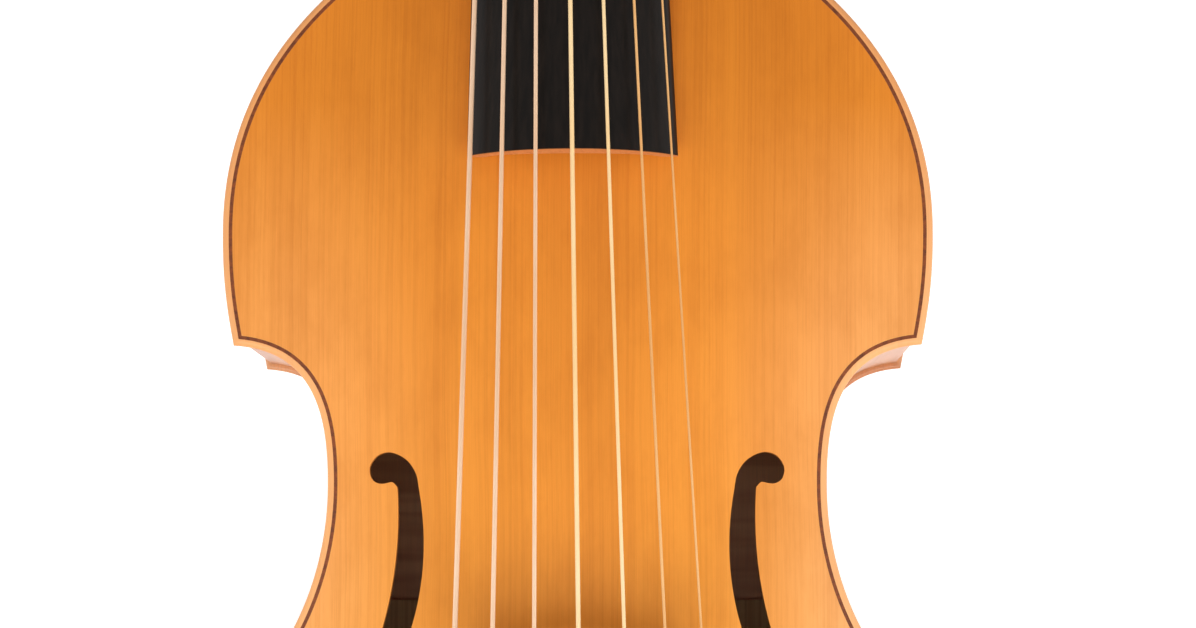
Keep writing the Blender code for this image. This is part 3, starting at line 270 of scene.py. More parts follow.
# Painted shade: the varnish deepens towards the neck, where less light falls on the front
wood = mix(tree, between(tree, axes.outputs["Y"], *PAINTED_SHADE_NECK_FADE), SPRUCE, SPRUCE_PAINTED_SHADE)
# Painted light and sheen: paler at the sides towards the bottom, stronger on the treble side, where the lamps
# light the arch's slopes
wide = maths(tree, "ABSOLUTE", axes.outputs["X"])
side = between(tree, wide, *PAINTED_LIGHT_SIDE_FADE, interpolation_type="SMOOTHSTEP")
treble = node(tree, "MapRange", {"Value": axes.outputs["X"], "From Min": -0.15, "From Max": 0.15,
                                 "To Min": 0.6, "To Max": 1.1}).outputs[0]
low = maths(tree, "MULTIPLY", between(tree, axes.outputs["Y"], *PAINTED_LIGHT_LOW_FADE), treble)
wood = mix(tree, maths(tree, "MULTIPLY", side, low, clamp=True), wood, SPRUCE_PAINTED_LIGHT)
for share, pattern, shade in ((0.55, bands, (0.80, 0.72, 0.60)), (0.32, lines, (0.78, 0.68, 0.52)),
                              (0.25, fibres, (0.84, 0.78, 0.68)), (0.55, cloud, (0.86, 0.80, 0.66))):
    tint = ramp(tree, pattern, ((0.32, (*shade, 1.0)), (0.56, grey(1.0))))
    wood = mix(tree, share, wood, tint, "MULTIPLY")
# Painted highlight: a paler band over the outer few millimetres of the rounded edge
from_edge = node(tree, "Attribute", attribute_name="from_edge").outputs["Fac"]
rim = maths(tree, "MULTIPLY", between(tree, from_edge, *PAINTED_HIGHLIGHT_RIM_FADE), PAINTED_HIGHLIGHT_SHARE)
wood = mix(tree, rim, wood, RIM_PAINTED_HIGHLIGHT)
dress(tree, shader, wood, {"Roughness": 0.42, "Specular IOR Level": 0.25, "Coat Weight": 0.05,
                           "Coat Roughness": 0.30})
relief(tree, shader, lines, 0.25, 0.0002)

# %% [markdown]
# The ribs, back, neck and pegbox are maple. Its flame is a row of soft bands across the grain, which
# comes from wavy fibres. Each piece gets the same look, turned to the way its grain runs.

# %% Maple, ebony, boxwood, bare spruce, bone and gut
def maple_look(name, pale, deep, flame_scale, fibre_scale, roughness, coat, contrast):
    """Flamed maple: bands along one axis over fine fibres along another."""
    made, tree, shader, place = new_material(name)
    flame = grain(tree, place, flame_scale, detail=2.0, warp=0.6)
    fibres = grain(tree, place, fibre_scale, detail=3.0, rough=0.6)
    cloud = grain(tree, place, (14.0, 14.0, 14.0), detail=2.0)
    wood = mix(tree, ramp(tree, flame, ((0.36, grey(0.0)), (0.62, grey(1.0)))), deep, pale)
    wood = mix(tree, contrast, pale, wood)
    wood = mix(tree, 0.35, wood, ramp(tree, fibres, ((0.30, grey(0.66)), (0.62, grey(1.0)))), "MULTIPLY")
    wood = mix(tree, 0.25, wood, ramp(tree, cloud, ((0.30, grey(0.75)), (0.65, grey(1.0)))), "MULTIPLY")
    dress(tree, shader, wood, {"Roughness": roughness, "Coat Weight": coat, "Coat Roughness": 0.25})
    relief(tree, shader, fibres, 0.15, 0.0002)
    return made


MAPLE = colour(226, 160, 108)
MAPLE_DEEP = colour(186, 112, 62)
rib_maple = maple_look("rib_maple", MAPLE, MAPLE_DEEP, (95.0, 95.0, 5.0), (40.0, 40.0, 1500.0),
                       roughness=0.38, coat=0.25, contrast=0.6)
back_maple = maple_look("back_maple", MAPLE, MAPLE_DEEP, (6.0, 90.0, 6.0), (1300.0, 30.0, 30.0),
                        roughness=0.38, coat=0.25, contrast=0.6)
neck_maple = maple_look("neck_maple", MAPLE, MAPLE_DEEP, (6.0, 80.0, 6.0), (1200.0, 30.0, 900.0),
                        roughness=0.40, coat=0.20, contrast=0.45)
plain_maple = maple_look("plain_maple", colour(214, 164, 108), colour(190, 138, 84), (60.0, 60.0, 200.0),
                         (500.0, 900.0, 500.0), roughness=0.55, coat=0.0, contrast=0.3)
boxwood = maple_look("boxwood", colour(206, 150, 84), colour(180, 120, 58), (300.0, 40.0, 40.0),
                     (60.0, 900.0, 900.0), roughness=0.36, coat=0.15, contrast=0.35)
bare_spruce = maple_look("bare_spruce", colour(214, 172, 118), colour(190, 142, 90), (600.0, 5.0, 600.0),
                         (1500.0, 30.0, 1500.0), roughness=0.75, coat=0.0, contrast=0.6)
end_grain = maple_look("end_grain", colour(228, 150, 86), colour(206, 128, 66), (900.0, 5.0, 200.0),
                       (1500.0, 30.0, 1500.0), roughness=0.7, coat=0.0, contrast=0.5)

ebony, tree, shader, place = new_material("ebony")
streaks = grain(tree, place, (420.0, 7.0, 420.0), detail=3.0, rough=0.6)
blacks = ramp(tree, streaks, ((0.35, colour(14, 9, 6)), (0.75, colour(30, 22, 17))))
dress(tree, shader, blacks, {"Roughness": 0.36, "Specular IOR Level": 0.25})
relief(tree, shader, streaks, 0.12, 0.0001)


def strand_look(name, base, deep, roughness, metallic, turns):
    """Gut, or gut wound with wire: rings or plies read along the strand's own UV map."""
    made, tree, shader, _ = new_material(name)
    along = node(tree, "UVMap", uv_map="strand").outputs[0]
    mapped = node(tree, "Mapping", {"Vector": along, "Scale": (turns, 1.0, 1.0)})
    rings = node(tree, "TexWave", {"Vector": mapped.outputs[0], "Scale": 1.0},
                 bands_direction="X").outputs["Fac"]
    wear = node(tree, "TexNoise", {"Vector": along, "Scale": 9.0, "Detail": 3.0}).outputs["Fac"]
    shade = mix(tree, ramp(tree, wear, ((0.3, grey(0.0)), (0.7, grey(1.0)))), deep, base)
    dress(tree, shader, shade, {"Roughness": roughness, "Metallic": metallic})
    relief(tree, shader, rings, 0.35, 0.0001)
    return made


gut = strand_look("plain_gut", colour(255, 228, 178), colour(246, 200, 134), 0.38, metallic=0.0, turns=180.0)
thin_gut = strand_look("thin_gut", colour(244, 192, 128), colour(224, 158, 88), 0.40, metallic=0.0,
                       turns=180.0)
overspun = strand_look("overspun_gut", colour(252, 218, 186), colour(238, 190, 146), 0.34, metallic=0.25,
                       turns=900.0)
fret_gut = strand_look("fret_gut", colour(226, 190, 132), colour(204, 158, 96), 0.42, metallic=0.0,
                       turns=300.0)

bone, tree, shader, place = new_material("bone")
veins = grain(tree, place, (220.0, 40.0, 220.0), detail=4.0, rough=0.6)
ivory = ramp(tree, veins, ((0.35, colour(224, 208, 174)), (0.65, colour(241, 231, 205))))
dress(tree, shader, ivory, {"Roughness": 0.36})
print("materials:", len(bpy.data.materials))

# %% [markdown]
# ## Surfaces from arrays
# Every new piece is a grid of points worked out at once with numpy. Rows run along the piece and
# columns run round it. A short helper turns the grid into a closed mesh and gives it its finish.

# %% Surface helpers
def grid_faces(rows, columns, close_rows=False):
    """Faces between neighbours of a grid whose columns run round; closed rows join end to start."""
    i = np.arange(rows if close_rows else rows - 1)[:, None]
    j = np.arange(columns)[None, :]
    i2, j2 = (i + 1) % rows, (j + 1) % columns
    corners = np.broadcast_arrays(i * columns + j, i * columns + j2, i2 * columns + j2, i2 * columns + j)
    return np.stack(corners, -1).reshape(-1, 4)


def add_piece(name, mesh, material, body="body", stands_for=(), smooth_angle=40):
    """Show a finished mesh: shade it, give it its material and let it ride on its body."""
    mesh.shade_smooth()
    mesh.set_sharp_from_angle(angle=math.radians(smooth_angle))
    mesh.materials.clear()
    mesh.materials.append(material)
    thing = bpy.data.objects.new(name, mesh)
    bpy.context.scene.collection.objects.link(thing)
    if stands_for:
        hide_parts(*stands_for)
    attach(thing, body)
    return thing


def shell(name, grid, close_rows=False):
    """A closed mesh through a grid of points, with its doubles merged and its faces turned outwards."""
    rows, columns = grid.shape[:2]
    faces = grid_faces(rows, columns, close_rows).tolist()
    if not close_rows:
        faces += [list(range(columns)), list(range((rows - 1) * columns, rows * columns))]
    mesh = bpy.data.meshes.new(name)
    mesh.from_pydata(grid.reshape(-1, 3).tolist(), [], faces)
    return tidy(mesh)


SAME_PLACE = 0.000002            # two points nearer than this are one
NO_AREA = 0.0000001              # an edge shorter than this is dropped


def tidy(mesh):
    """Merge doubles, drop faces without area and turn the rest outwards."""
    shape = bmesh.new()
    shape.from_mesh(mesh)
    bmesh.ops.remove_doubles(shape, verts=shape.verts, dist=SAME_PLACE)
    bmesh.ops.dissolve_degenerate(shape, edges=shape.edges, dist=NO_AREA)
    bmesh.ops.recalc_face_normals(shape, faces=shape.faces)
    shape.to_mesh(mesh)
    shape.free()
    return mesh


def carve(mesh, cutters):
    """The mesh after solid cutters are taken out of it."""
    thing = bpy.data.objects.new("carved", mesh)
    bpy.context.scene.collection.objects.link(thing)
    tools = []
    for cutter in cutters:
        tool = bpy.data.objects.new("cutter", cutter)
        bpy.context.scene.collection.objects.link(tool)
        step = thing.modifiers.new("cut", "BOOLEAN")
        step.operation = "DIFFERENCE"
        step.solver = "EXACT"
        step.object = tool
        tools.append(tool)
    bpy.context.view_layer.update()
    result = bpy.data.meshes.new_from_object(thing.evaluated_get(bpy.context.evaluated_depsgraph_get()))
    for gone in [thing] + tools:
        bpy.data.objects.remove(gone, do_unlink=True)
    return result


def strand(name, path, radius, sides=16, closed=False):
    """A round strand along a path. Its UV map runs along it, so that rings of wire lie square to it."""
    path = np.asarray(path, float)
    count = len(path)
    ahead = np.roll(path, -1, 0) - np.roll(path, 1, 0)
    if not closed:
        ahead[0], ahead[-1] = path[1] - path[0], path[-1] - path[-2]
    ahead /= np.linalg.norm(ahead, axis=1)[:, None]
    right = np.zeros_like(path)
    seed = np.array([1.0, 0, 0]) if abs(ahead[0, 0]) < 0.9 else np.array([0, 0, 1.0])
    for i in range(count):
        seed = seed - ahead[i] * (seed @ ahead[i])
        seed /= np.linalg.norm(seed)
        right[i] = seed
    over = np.cross(ahead, right)
    angle = np.linspace(0, 2 * np.pi, sides, endpoint=False)
    ring = np.cos(angle)[None, :, None] * right[:, None] + np.sin(angle)[None, :, None] * over[:, None]
    mesh = shell(name, path[:, None] + radius * ring, close_rows=closed)
    return mesh_with_strand_uv(mesh, path)


def vertex_places(mesh):
    """The places of a mesh's vertices, as one array."""
    places = np.empty(len(mesh.vertices) * 3)
    mesh.vertices.foreach_get("co", places)
    return places.reshape(-1, 3)


AT_ONCE = 4000                   # vertices compared with the path in one go, to save memory


def mesh_with_strand_uv(mesh, path):
    """Write the length along the path, in metres, as the first number of a UV map."""
    places = vertex_places(mesh)
    lengths = np.concatenate([[0], np.cumsum(np.linalg.norm(np.diff(path, axis=0), axis=1))])
    nearest = np.empty(len(places), int)
    for start in range(0, len(places), AT_ONCE):
        part = places[start:start + AT_ONCE]
        nearest[start:start + AT_ONCE] = np.argmin(((part[:, None] - path[None]) ** 2).sum(-1), axis=1)
    corners = np.empty(len(mesh.loops), int)
    mesh.loops.foreach_get("vertex_index", corners)
    layer = mesh.uv_layers.new(name="strand")
    pairs = np.stack([lengths[nearest][corners], np.zeros(len(corners))], axis=1)
    layer.data.foreach_set("uv", pairs.ravel())
    return mesh


def along(path, step):
    """Evenly spaced points of a polyline, about a step apart, with its corners kept."""
    path = np.asarray(path, float)
    pieces = [path[:1]]
    for a, b in zip(path[:-1], path[1:]):
        count = max(1, int(round(np.linalg.norm(b - a) / step)))
        pieces.append(a + (b - a) * (np.arange(1, count + 1) / count)[:, None])
    return np.concatenate(pieces)


# %% [markdown]
# ## The body's outline
# The outline is drawn the way a maker would, with a few curves that meet at the corners: upper bout,
# waist and lower bout. Each curve is a cubic between two points with given headings.

# %% Outline
TOP_Y = 0.395
BOTTOM_Y = -0.295
UPPER_CORNER = (0.1587, 0.1453)
LOWER_CORNER = (0.176, -0.034)
WAIST_HALF, WAIST_Y = 0.1146, 0.080
UPPER_HALF, UPPER_Y = 0.1644, 0.200
LOWER_HALF, LOWER_Y = 0.1941, -0.1386
SHOULDER = (0.1198, 0.3065)
NECK_END = (0.038, TOP_Y)
UPPER, WAIST, LOWER = range(3)
STATIONS = (170, 190, 200)       # along each curve


def bend(start, start_heading, end, end_heading, reaches, steps=40):
    """A cubic curve between two points with given headings in degrees, and its inward normals."""
    start, end = np.array(start), np.array(end)
    chord = np.linalg.norm(end - start)
    first, last = (np.array([math.cos(math.radians(h)), math.sin(math.radians(h))])
                   for h in (start_heading, end_heading))
    near, far = start + first * chord * reaches[0], end - last * chord * reaches[1]
    t = np.linspace(0, 1, steps + 1)[:, None]
    points = (1 - t) ** 3 * start + 3 * (1 - t) ** 2 * t * near + 3 * (1 - t) * t ** 2 * far + t ** 3 * end
    run = (1 - t) ** 2 * (near - start) + 2 * (1 - t) * t * (far - near) + t ** 2 * (end - far)
    run = run / np.linalg.norm(run, axis=1)[:, None]
    return points, np.stack([run[:, 1], -run[:, 0]], axis=1)


def join(*curves):
    """Curves that meet end to end, as one."""
    return [np.concatenate([curves[0][k]] + [c[k][1:] for c in curves[1:]]) for k in (0, 1)]


OUTLINE = [
    join(bend(NECK_END, -62, SHOULDER, -45, (0.30, 0.30)),
         bend(SHOULDER, -45, (UPPER_HALF, UPPER_Y), -90, (0.356, 0.361)),
         bend((UPPER_HALF, UPPER_Y), -90, UPPER_CORNER, -101.6, (0.356, 0.394))),
    join(bend(UPPER_CORNER, 183.5, (WAIST_HALF, WAIST_Y), 270, (0.484, 0.410)),
         bend((WAIST_HALF, WAIST_Y), -90, LOWER_CORNER, -30, (0.355, 0.357))),
    join(bend(LOWER_CORNER, -70, (LOWER_HALF, LOWER_Y), -90, (0.34, 0.34)),
         bend((LOWER_HALF, LOWER_Y), -90, (0.0, BOTTOM_Y), -180, (0.355, 0.470)))]


def crossing(first, second):
    """Where two polylines cross, and the segment of each: all pairs are solved at once."""
    a, r = first[:-1, None], (first[1:] - first[:-1])[:, None]
    b, s = second[None, :-1], (second[1:] - second[:-1])[None]
    cross = r[..., 0] * s[..., 1] - r[..., 1] * s[..., 0]
    cross = np.where(np.abs(cross) < 1e-16, 1e-16, cross)
    gap = b - a
    u = (gap[..., 0] * s[..., 1] - gap[..., 1] * s[..., 0]) / cross
    v = (gap[..., 0] * r[..., 1] - gap[..., 1] * r[..., 0]) / cross
    i, j = np.argwhere((u >= 0) & (u <= 1) & (v >= 0) & (v <= 1))[0]
    return first[i] + u[i, j] * (first[i + 1] - first[i]), i, j


def even(points, count):
    """The same line with evenly spaced points."""
    lengths = np.concatenate([[0], np.cumsum(np.linalg.norm(np.diff(points, axis=0), axis=1))])
    at = np.linspace(0, lengths[-1], count)
    return np.stack([np.interp(at, lengths, points[:, k]) for k in (0, 1)], axis=1)


LEAD = 0.03                      # how far the upper curve is drawn on past the neck before it is cut


def inset(distance):
    """The three curves moved inwards, mitred where they meet, each with its number of stations."""
    curves = [points + normals * distance for points, normals in OUTLINE]
    if distance > 0:
        upper = curves[UPPER]
        lead = upper[0] - (upper[1] - upper[0]) / np.linalg.norm(upper[1] - upper[0]) * LEAD
        longer = np.vstack([lead, upper])
        place, i, _ = crossing(longer, np.array([[-1.0, TOP_Y], [1.0, TOP_Y]]))
        curves[UPPER] = np.vstack([place, longer[i + 1:]])
        for above, below in ((UPPER, WAIST), (WAIST, LOWER)):
            place, i, j = crossing(curves[above], curves[below])
            curves[above] = np.vstack([curves[above][:i + 1], place])
            curves[below] = np.vstack([place, curves[below][j + 1:]])
    return [even(curve, count) for curve, count in zip(curves, STATIONS)]


def whole(distance):
    """The half outline from the neck to the bottom as one line."""
    upper, waist, lower = inset(distance)
    return np.concatenate([upper, waist[1:], lower[1:]])


edge_line = whole(0.0)
print("half outline:", round(float(np.linalg.norm(np.diff(edge_line, axis=0), axis=1).sum()), 3), "m")

# %% [markdown]
# ## Front and back
# The front is carved from the flat rim up to its arch. Its height is a product of a curve across and
# an easing along. The edge is fully rounded: its profile is a half circle that follows the outline.
# Front and back are made by one function, because they differ only in height and thickness.

# %% Plates
ARCH_HEIGHT = 0.017
ARCH_MARGIN = 0.010
ARCH_TOP_RAMP, ARCH_BOTTOM_RAMP = 0.150, 0.120
ARCH_ACROSS, ARCH_FALL = 2.2, 1.7
BACK_THICKNESS = 0.0036
BACK_ROUNDING = 0.0015
RIB_HEIGHT, NECK_RIB_HEIGHT = 0.1222, 0.080
FOLD_Y = 0.205
FOLD_SLOPE = (RIB_HEIGHT - NECK_RIB_HEIGHT) / (TOP_Y - FOLD_Y)
ACROSS = 84                      # columns over a plate
UNDER_STEP = 6                   # the underside has one column for this many on top
EVENLY, CROWDED = 0.45, 0.55     # shares of the columns' spread: even, and closer towards the edge
RIM_STEPS = 8


def ease(t):
    """A smooth step from 0 to 1."""
    t = np.clip(t, 0, 1)
    return t * t * (3 - 2 * t)


def partway(ends, share):
    """A value between two ends, a share of the way along."""
    return ends[0] + share * (ends[1] - ends[0])


def arch_half(y):
    """Half the width of the arched part: a margin inside the bouts, eased past the corners."""
    order = edge_line[::-1]
    half = np.interp(y, order[:, 1], order[:, 0])
    waist = WAIST_HALF - ARCH_MARGIN
    above = waist + (UPPER_HALF - WAIST_HALF) * ease((y - WAIST_Y) / (UPPER_Y - WAIST_Y))
    below = waist + (LOWER_HALF - WAIST_HALF) * ease((WAIST_Y - y) / (WAIST_Y - LOWER_Y))
    bout = np.maximum(half - ARCH_MARGIN, ARCH_MARGIN)
    return np.where((y >= UPPER_Y) | (y <= LOWER_Y), bout, np.where(y >= WAIST_Y, above, below))


def arch(x, y):
    """Height of the front over its edge: (1 - across^2.2)^1.7, eased off towards both ends."""
    across = np.minimum(np.abs(x) / arch_half(y), 1.0)
    above = ease((TOP_Y - ARCH_MARGIN - y) / ARCH_TOP_RAMP)
    below = ease((y - BOTTOM_Y - ARCH_MARGIN) / ARCH_BOTTOM_RAMP)
    return ARCH_HEIGHT * (1 - across ** ARCH_ACROSS) ** ARCH_FALL * (above * below)


def front_top(x, y):
    """The front's outer face."""
    return EDGE_TOP + arch(x, y)


def back_rise(y):
    """How far the back has risen past its fold."""
    return np.maximum(0.0, y - FOLD_Y) * FOLD_SLOPE


def back_top(x, y):
    """The back's inner face, which is flat across, so that x doesn't count."""
    return back_rise(y) + BACK_THICKNESS


def plate(name, top, thickness, round_over):
    """A plate: rows across it end on the outline moved in by the rounding, and a rim closes them."""
    inner = whole(round_over)
    share = np.linspace(-1, 1, ACROSS + 1)
    share = EVENLY * share + CROWDED * np.sin(share * np.pi / 2)
    x = inner[:, :1] * share
    y = np.broadcast_to(inner[:, 1:], x.shape)
    upper = np.stack([x, y, top(x, y)], axis=-1)
    lower = upper[:, ::-UNDER_STEP].copy()
    lower[..., 2] -= thickness
    angles = np.linspace(0, np.pi, RIM_STEPS + 1)[1:-1]
    rim = []
    for angle in angles:
        line = whole(round_over * (1 - math.sin(angle)))
        middle = top(line[:, 0], line[:, 1]) - thickness / 2
        rim.append(np.stack([line[:, 0], line[:, 1], middle + thickness / 2 * math.cos(angle)], axis=-1))
    rim = np.stack(rim, axis=1)
    mirrored = rim[:, ::-1] * np.array([-1, 1, 1])
    loop = np.concatenate([upper, rim, lower, mirrored], axis=1)
    faces = grid_faces(*loop.shape[:2]).tolist() + [list(range(loop.shape[1]))]
    mesh = bpy.data.meshes.new(name)
    mesh.from_pydata(loop.reshape(-1, 3).tolist(), [], faces)
    return tidy(mesh)


back_mesh = plate("back_plate", back_top, BACK_THICKNESS, BACK_ROUNDING)
back = add_piece("back_plate", back_mesh, back_maple, stands_for=["back"])
print("back:", len(back.data.polygons), "faces")

# %% [markdown]
# The sound holes are C-shaped: a bent, tapered stem with a hook and a round bulb at each end, which
# turn outwards. A smooth curve joins the few points of the upper hook, the lower hook is its mirror
# image, and the whole outline is cut through the front.

# %% Sound holes
HOLE_AT = (0.0782, 0.030)
HOLE_LEAN = math.radians(10.6)
STEM_RADIUS, STEM_HALF = 0.150, 0.048
HOLE_WIDTH, HOLE_TAPER = 0.0132, 0.0028
STEM_STEPS, HOOK_STEPS, LEAD_STEPS = 40, 8, 6
# Points round the upper hook in the stem's own frame, from its inner side to its outer side
HOOK = np.array([(0.0055, 0.0555), (0.0110, 0.0610), (0.0187, 0.0632), (0.0247, 0.0607),
                 (0.0273, 0.0548), (0.0253, 0.0497), (0.0211, 0.0482), (0.0160, 0.0499)])


def smooth_through(points, steps):
    """A curve through points: between two of them it leans on their neighbours (Catmull-Rom)."""
    padded = np.vstack([2 * points[0] - points[1], points, 2 * points[-1] - points[-2]])
    t = np.linspace(0, 1, steps, endpoint=False)[:, None]
    runs = []
    for a, b, c, d in zip(padded, padded[1:], padded[2:], padded[3:]):
        runs.append(0.5 * (2 * b + (c - a) * t + (2 * a - 5 * b + 4 * c - d) * t ** 2
                           + (3 * b - a - 3 * c + d) * t ** 3))
    return np.vstack(runs + [points[-1:]])


def stem(s, edge):
    """One side of the stem: a parabola, with the width shrinking towards the hooks."""
    width = HOLE_WIDTH - HOLE_TAPER * (s / STEM_HALF) ** 2
    return np.stack([s * s / (2 * STEM_RADIUS) + edge * width / 2, s], axis=-1)


def sound_hole(side):
    """The outline of one sound hole in plan."""
    s = np.linspace(-STEM_HALF, STEM_HALF, STEM_STEPS)
    inner, outer = stem(s, -1), stem(s[::-1], 1)
    hook = smooth_through(np.vstack([inner[-1:], HOOK]), HOOK_STEPS)[1:]
    lead = smooth_through(np.vstack([HOOK[-2:], outer[:1]]), LEAD_STEPS)[LEAD_STEPS + 1:]
    hook = np.vstack([hook, lead[:-1]])
    below = hook[::-1] * np.array([1, -1])
    ring = np.vstack([inner, hook, outer, below])
    out = np.array([math.cos(HOLE_LEAN), math.sin(HOLE_LEAN)])
    up = np.array([-math.sin(HOLE_LEAN), math.cos(HOLE_LEAN)])
    plan = np.array(HOLE_AT) + ring[:, :1] * out + ring[:, 1:] * up
    return plan * np.array([side, 1])


def prism(name, plan, low, high):
    """A solid with a flat outline between two heights."""
    rings = [np.column_stack([plan, np.full(len(plan), z)]) for z in (low, high)]
    return shell(name, np.stack(rings))


def oblong(left, right, bottom, top):
    """The four corners of an oblong in plan."""
    return np.array([(left, bottom), (right, bottom), (right, top), (left, top)])


def edge_distance(mesh):
    """Each vertex's distance from the outline in plan; both halves are read as one, by |x|."""
    places = vertex_places(mesh)[:, :2]
    places[:, 0] = np.abs(places[:, 0])
    nearest = np.full(len(places), np.inf)
    for start, step in zip(edge_line[:-1], np.diff(edge_line, axis=0)):
        t = np.clip((places - start) @ step / (step @ step), 0, 1)
        nearest = np.minimum(nearest, np.linalg.norm(places - start - t[:, None] * step, axis=1))
    return nearest


HOOK_BAR_HALF = 0.0113
OVERHANG = 0.003                 # from the ribs' outer face to the edge of front and back
PAST = 0.01                      # how far a cutter reaches past what it cuts
cuts = [prism("hole", sound_hole(side), EDGE_UNDER - PAST, EDGE_TOP + ARCH_HEIGHT + PAST) for side in (-1, 1)]
cuts.append(prism("notch", oblong(-HOOK_BAR_HALF, HOOK_BAR_HALF, BOTTOM_Y - PAST, BOTTOM_Y + OVERHANG),
                  EDGE_UNDER - PAST, EDGE_TOP + PAST))
front_mesh = carve(plate("front_plate", front_top, FRONT_THICKNESS, FRONT_THICKNESS / 2), cuts)
depths = edge_distance(front_mesh)
front_mesh.attributes.new("from_edge", "FLOAT", "POINT").data.foreach_set("value", depths)
front = add_piece("front_plate", front_mesh, spruce, stands_for=["front"])
print("front:", len(front.data.polygons), "faces")

# %% [markdown]
# Purfling is a thin line of dyed wood let into the front a few millimetres from the edge. It stops
# cracks and frames the outline. Here it is a strip of its own, a hair proud of the front, with mitres.

# %% Purfling
PURFLING_INSET = 0.0031
PURFLING_WIDTH = 0.0016
PURFLING_PROUD, PURFLING_DEPTH = 0.00006, 0.0005
SIDES = ((-1, "bass"), (1, "treble"))

purfling_wood, tree, shader, place = new_material("purfling_wood")
dye = grain(tree, place, (500.0, 500.0, 50.0), detail=2.0)
browns = ramp(tree, dye, ((0.3, colour(96, 42, 8)), (0.7, colour(138, 66, 16))))
dress(tree, shader, browns, {"Roughness": 0.45})


def strip(name, columns, side):
    """A strip on one side of the body, through lines of the outline, each with its own heights."""
    rows = [np.stack([side * line[:, 0], line[:, 1], z], axis=-1) for line, z in columns]
    return shell(name, np.stack(rows, axis=1))


outer, inner = whole(PURFLING_INSET), whole(PURFLING_INSET + PURFLING_WIDTH)
columns = [(line, front_top(*line.T) + PURFLING_PROUD - drop)
           for line, drop in ((outer, 0.0), (inner, 0.0), (inner, PURFLING_DEPTH), (outer, PURFLING_DEPTH))]
for side, label in SIDES:
    name = f"{label}_purfling"
    add_piece(name, strip(name, columns, side), purfling_wood)

# %% [markdown]
# ## Ribs
# Each rib is a thin strip of maple bent to the outline. It stands between the back and the front, a
# little inside the edge, and runs to a mitre in the corners.

# %% Ribs
GAP = 0.0003                     # between two pieces that are glued or rest on each other
RIB_THICKNESS = 0.002
rib_lines = inset(OVERHANG), inset(OVERHANG + RIB_THICKNESS)


def shortened(line, start, end):
    """A line whose first and last points are moved in along it."""
    line = line.copy()
    for at, beside, by in ((0, 1, start), (-1, -2, end)):
        step = line[beside] - line[at]
        line[at] += step / np.linalg.norm(step) * by
    return line


def rib_foot(line):
    """Height of a rib's lower edge, which follows the back."""
    return back_rise(line[:, 1]) + BACK_THICKNESS + GAP


for part, part_name in enumerate(("upper", "waist", "lower")):
    outer, inner = (shortened(lines[part], GAP / 2 if part else 0.0, GAP / 2) for lines in rib_lines)
    head = np.full(len(outer), EDGE_UNDER - GAP)
    columns = [(outer, rib_foot(outer)), (outer, head), (inner, head), (inner, rib_foot(inner))]
    for side, label in SIDES:
        name = f"{label}_{part_name}_rib"
        add_piece(f"{name}_bent", strip(name, columns, side), rib_maple, stands_for=[name])
print("ribs bent")

# %% [markdown]
# ## Neck, fingerboard and strings
# The neck leans a little to the bass side. The fingerboard is a light core under a thin black veneer;
# at its free end the core's pale end grain shows as a line under the black.

# %% Fingerboard
STRING_LENGTH = 0.700
STRING_SLOPE = math.radians(9.7)
NECK_X, NECK_YAW = 0.0026, math.radians(1.0)
BRIDGE_HEIGHT = 0.0946           # its crown over the edge of the front
BRIDGE_TOP = EDGE_TOP + BRIDGE_HEIGHT
NUT_Y = STRING_LENGTH * math.cos(STRING_SLOPE)
BOARD_END_Y = 0.229
BOARD_NUT_WIDTH, BOARD_END_WIDTH = 0.067, 0.096
BOARD_RADIUS, BOARD_SIDE = 0.0645, 0.0045
BOARD_ROWS, BOARD_COLUMNS = 60, 49
VENEER = 0.0015
VENEER_CHAMFER = 0.0002
HOLLOW_Y, HOLLOW_RAMP = 0.375, 0.02      # where the core's hollow starts, and the length of its start
HOLLOW_DEPTH, HOLLOW_WALL = 0.011, 0.009
ACTION_NUT, ACTION_END = 0.0036, 0.0072
STRING_DIAMETERS = (0.0023, 0.00205, 0.00185, 0.0020, 0.0016, 0.00125, 0.0010)
LOWEST = max(STRING_DIAMETERS) / 2


def neck_x(y):
    """The neck's centre line in plan."""
    return NECK_X - math.tan(NECK_YAW) * y


def run(y, at_nut, at_end):
    """A value that runs straight from the nut to the fingerboard's free end."""
    return partway((at_nut, at_end), (NUT_Y - y) / (NUT_Y - BOARD_END_Y))


def sag(x, radius):
    """How far an arc has fallen at a distance from its middle."""
    return radius - np.sqrt(radius ** 2 - x ** 2)


def string_line(y):
    """Height of the lowest string over the centre line."""
    return BRIDGE_TOP + GAP + LOWEST - math.tan(STRING_SLOPE) * y


def board_half(y):
    """Half the fingerboard's width."""
    return run(y, BOARD_NUT_WIDTH, BOARD_END_WIDTH) / 2


def board_top(y):
    """Height of the fingerboard's crown."""
    return run(y, string_line(NUT_Y) - ACTION_NUT, string_line(BOARD_END_Y) - ACTION_END)


def glue_face(y):
    """Height of the fingerboard's flat underside."""
    ends = [board_top(e) - sag(board_half(e), BOARD_RADIUS) - BOARD_SIDE for e in (NUT_Y, BOARD_END_Y)]
    return run(y, *ends)


def bar_along(name, ys, section):
    """A bar whose closed cross-section, as x and z over the centre line, changes along the neck."""
    rows = []
    for y in ys:
        x, z = section(y).T
        rows.append(np.column_stack([neck_x(y) + x, np.full(len(x), y), z]))
    return shell(name, np.stack(rows))


def crown(y, lift, inwards):
    """The fingerboard's arch at one place, lifted and narrowed."""
    x = np.linspace(board_half(y) - inwards, -board_half(y) + inwards, BOARD_COLUMNS)
    return np.column_stack([x, board_top(y) - sag(x, BOARD_RADIUS) + lift])


def veneer_section(y):
    """The veneer: two arches and softened edges."""
    return np.vstack([crown(y, 0.0, VENEER_CHAMFER), crown(y, -VENEER, 0.0)[::-1]])


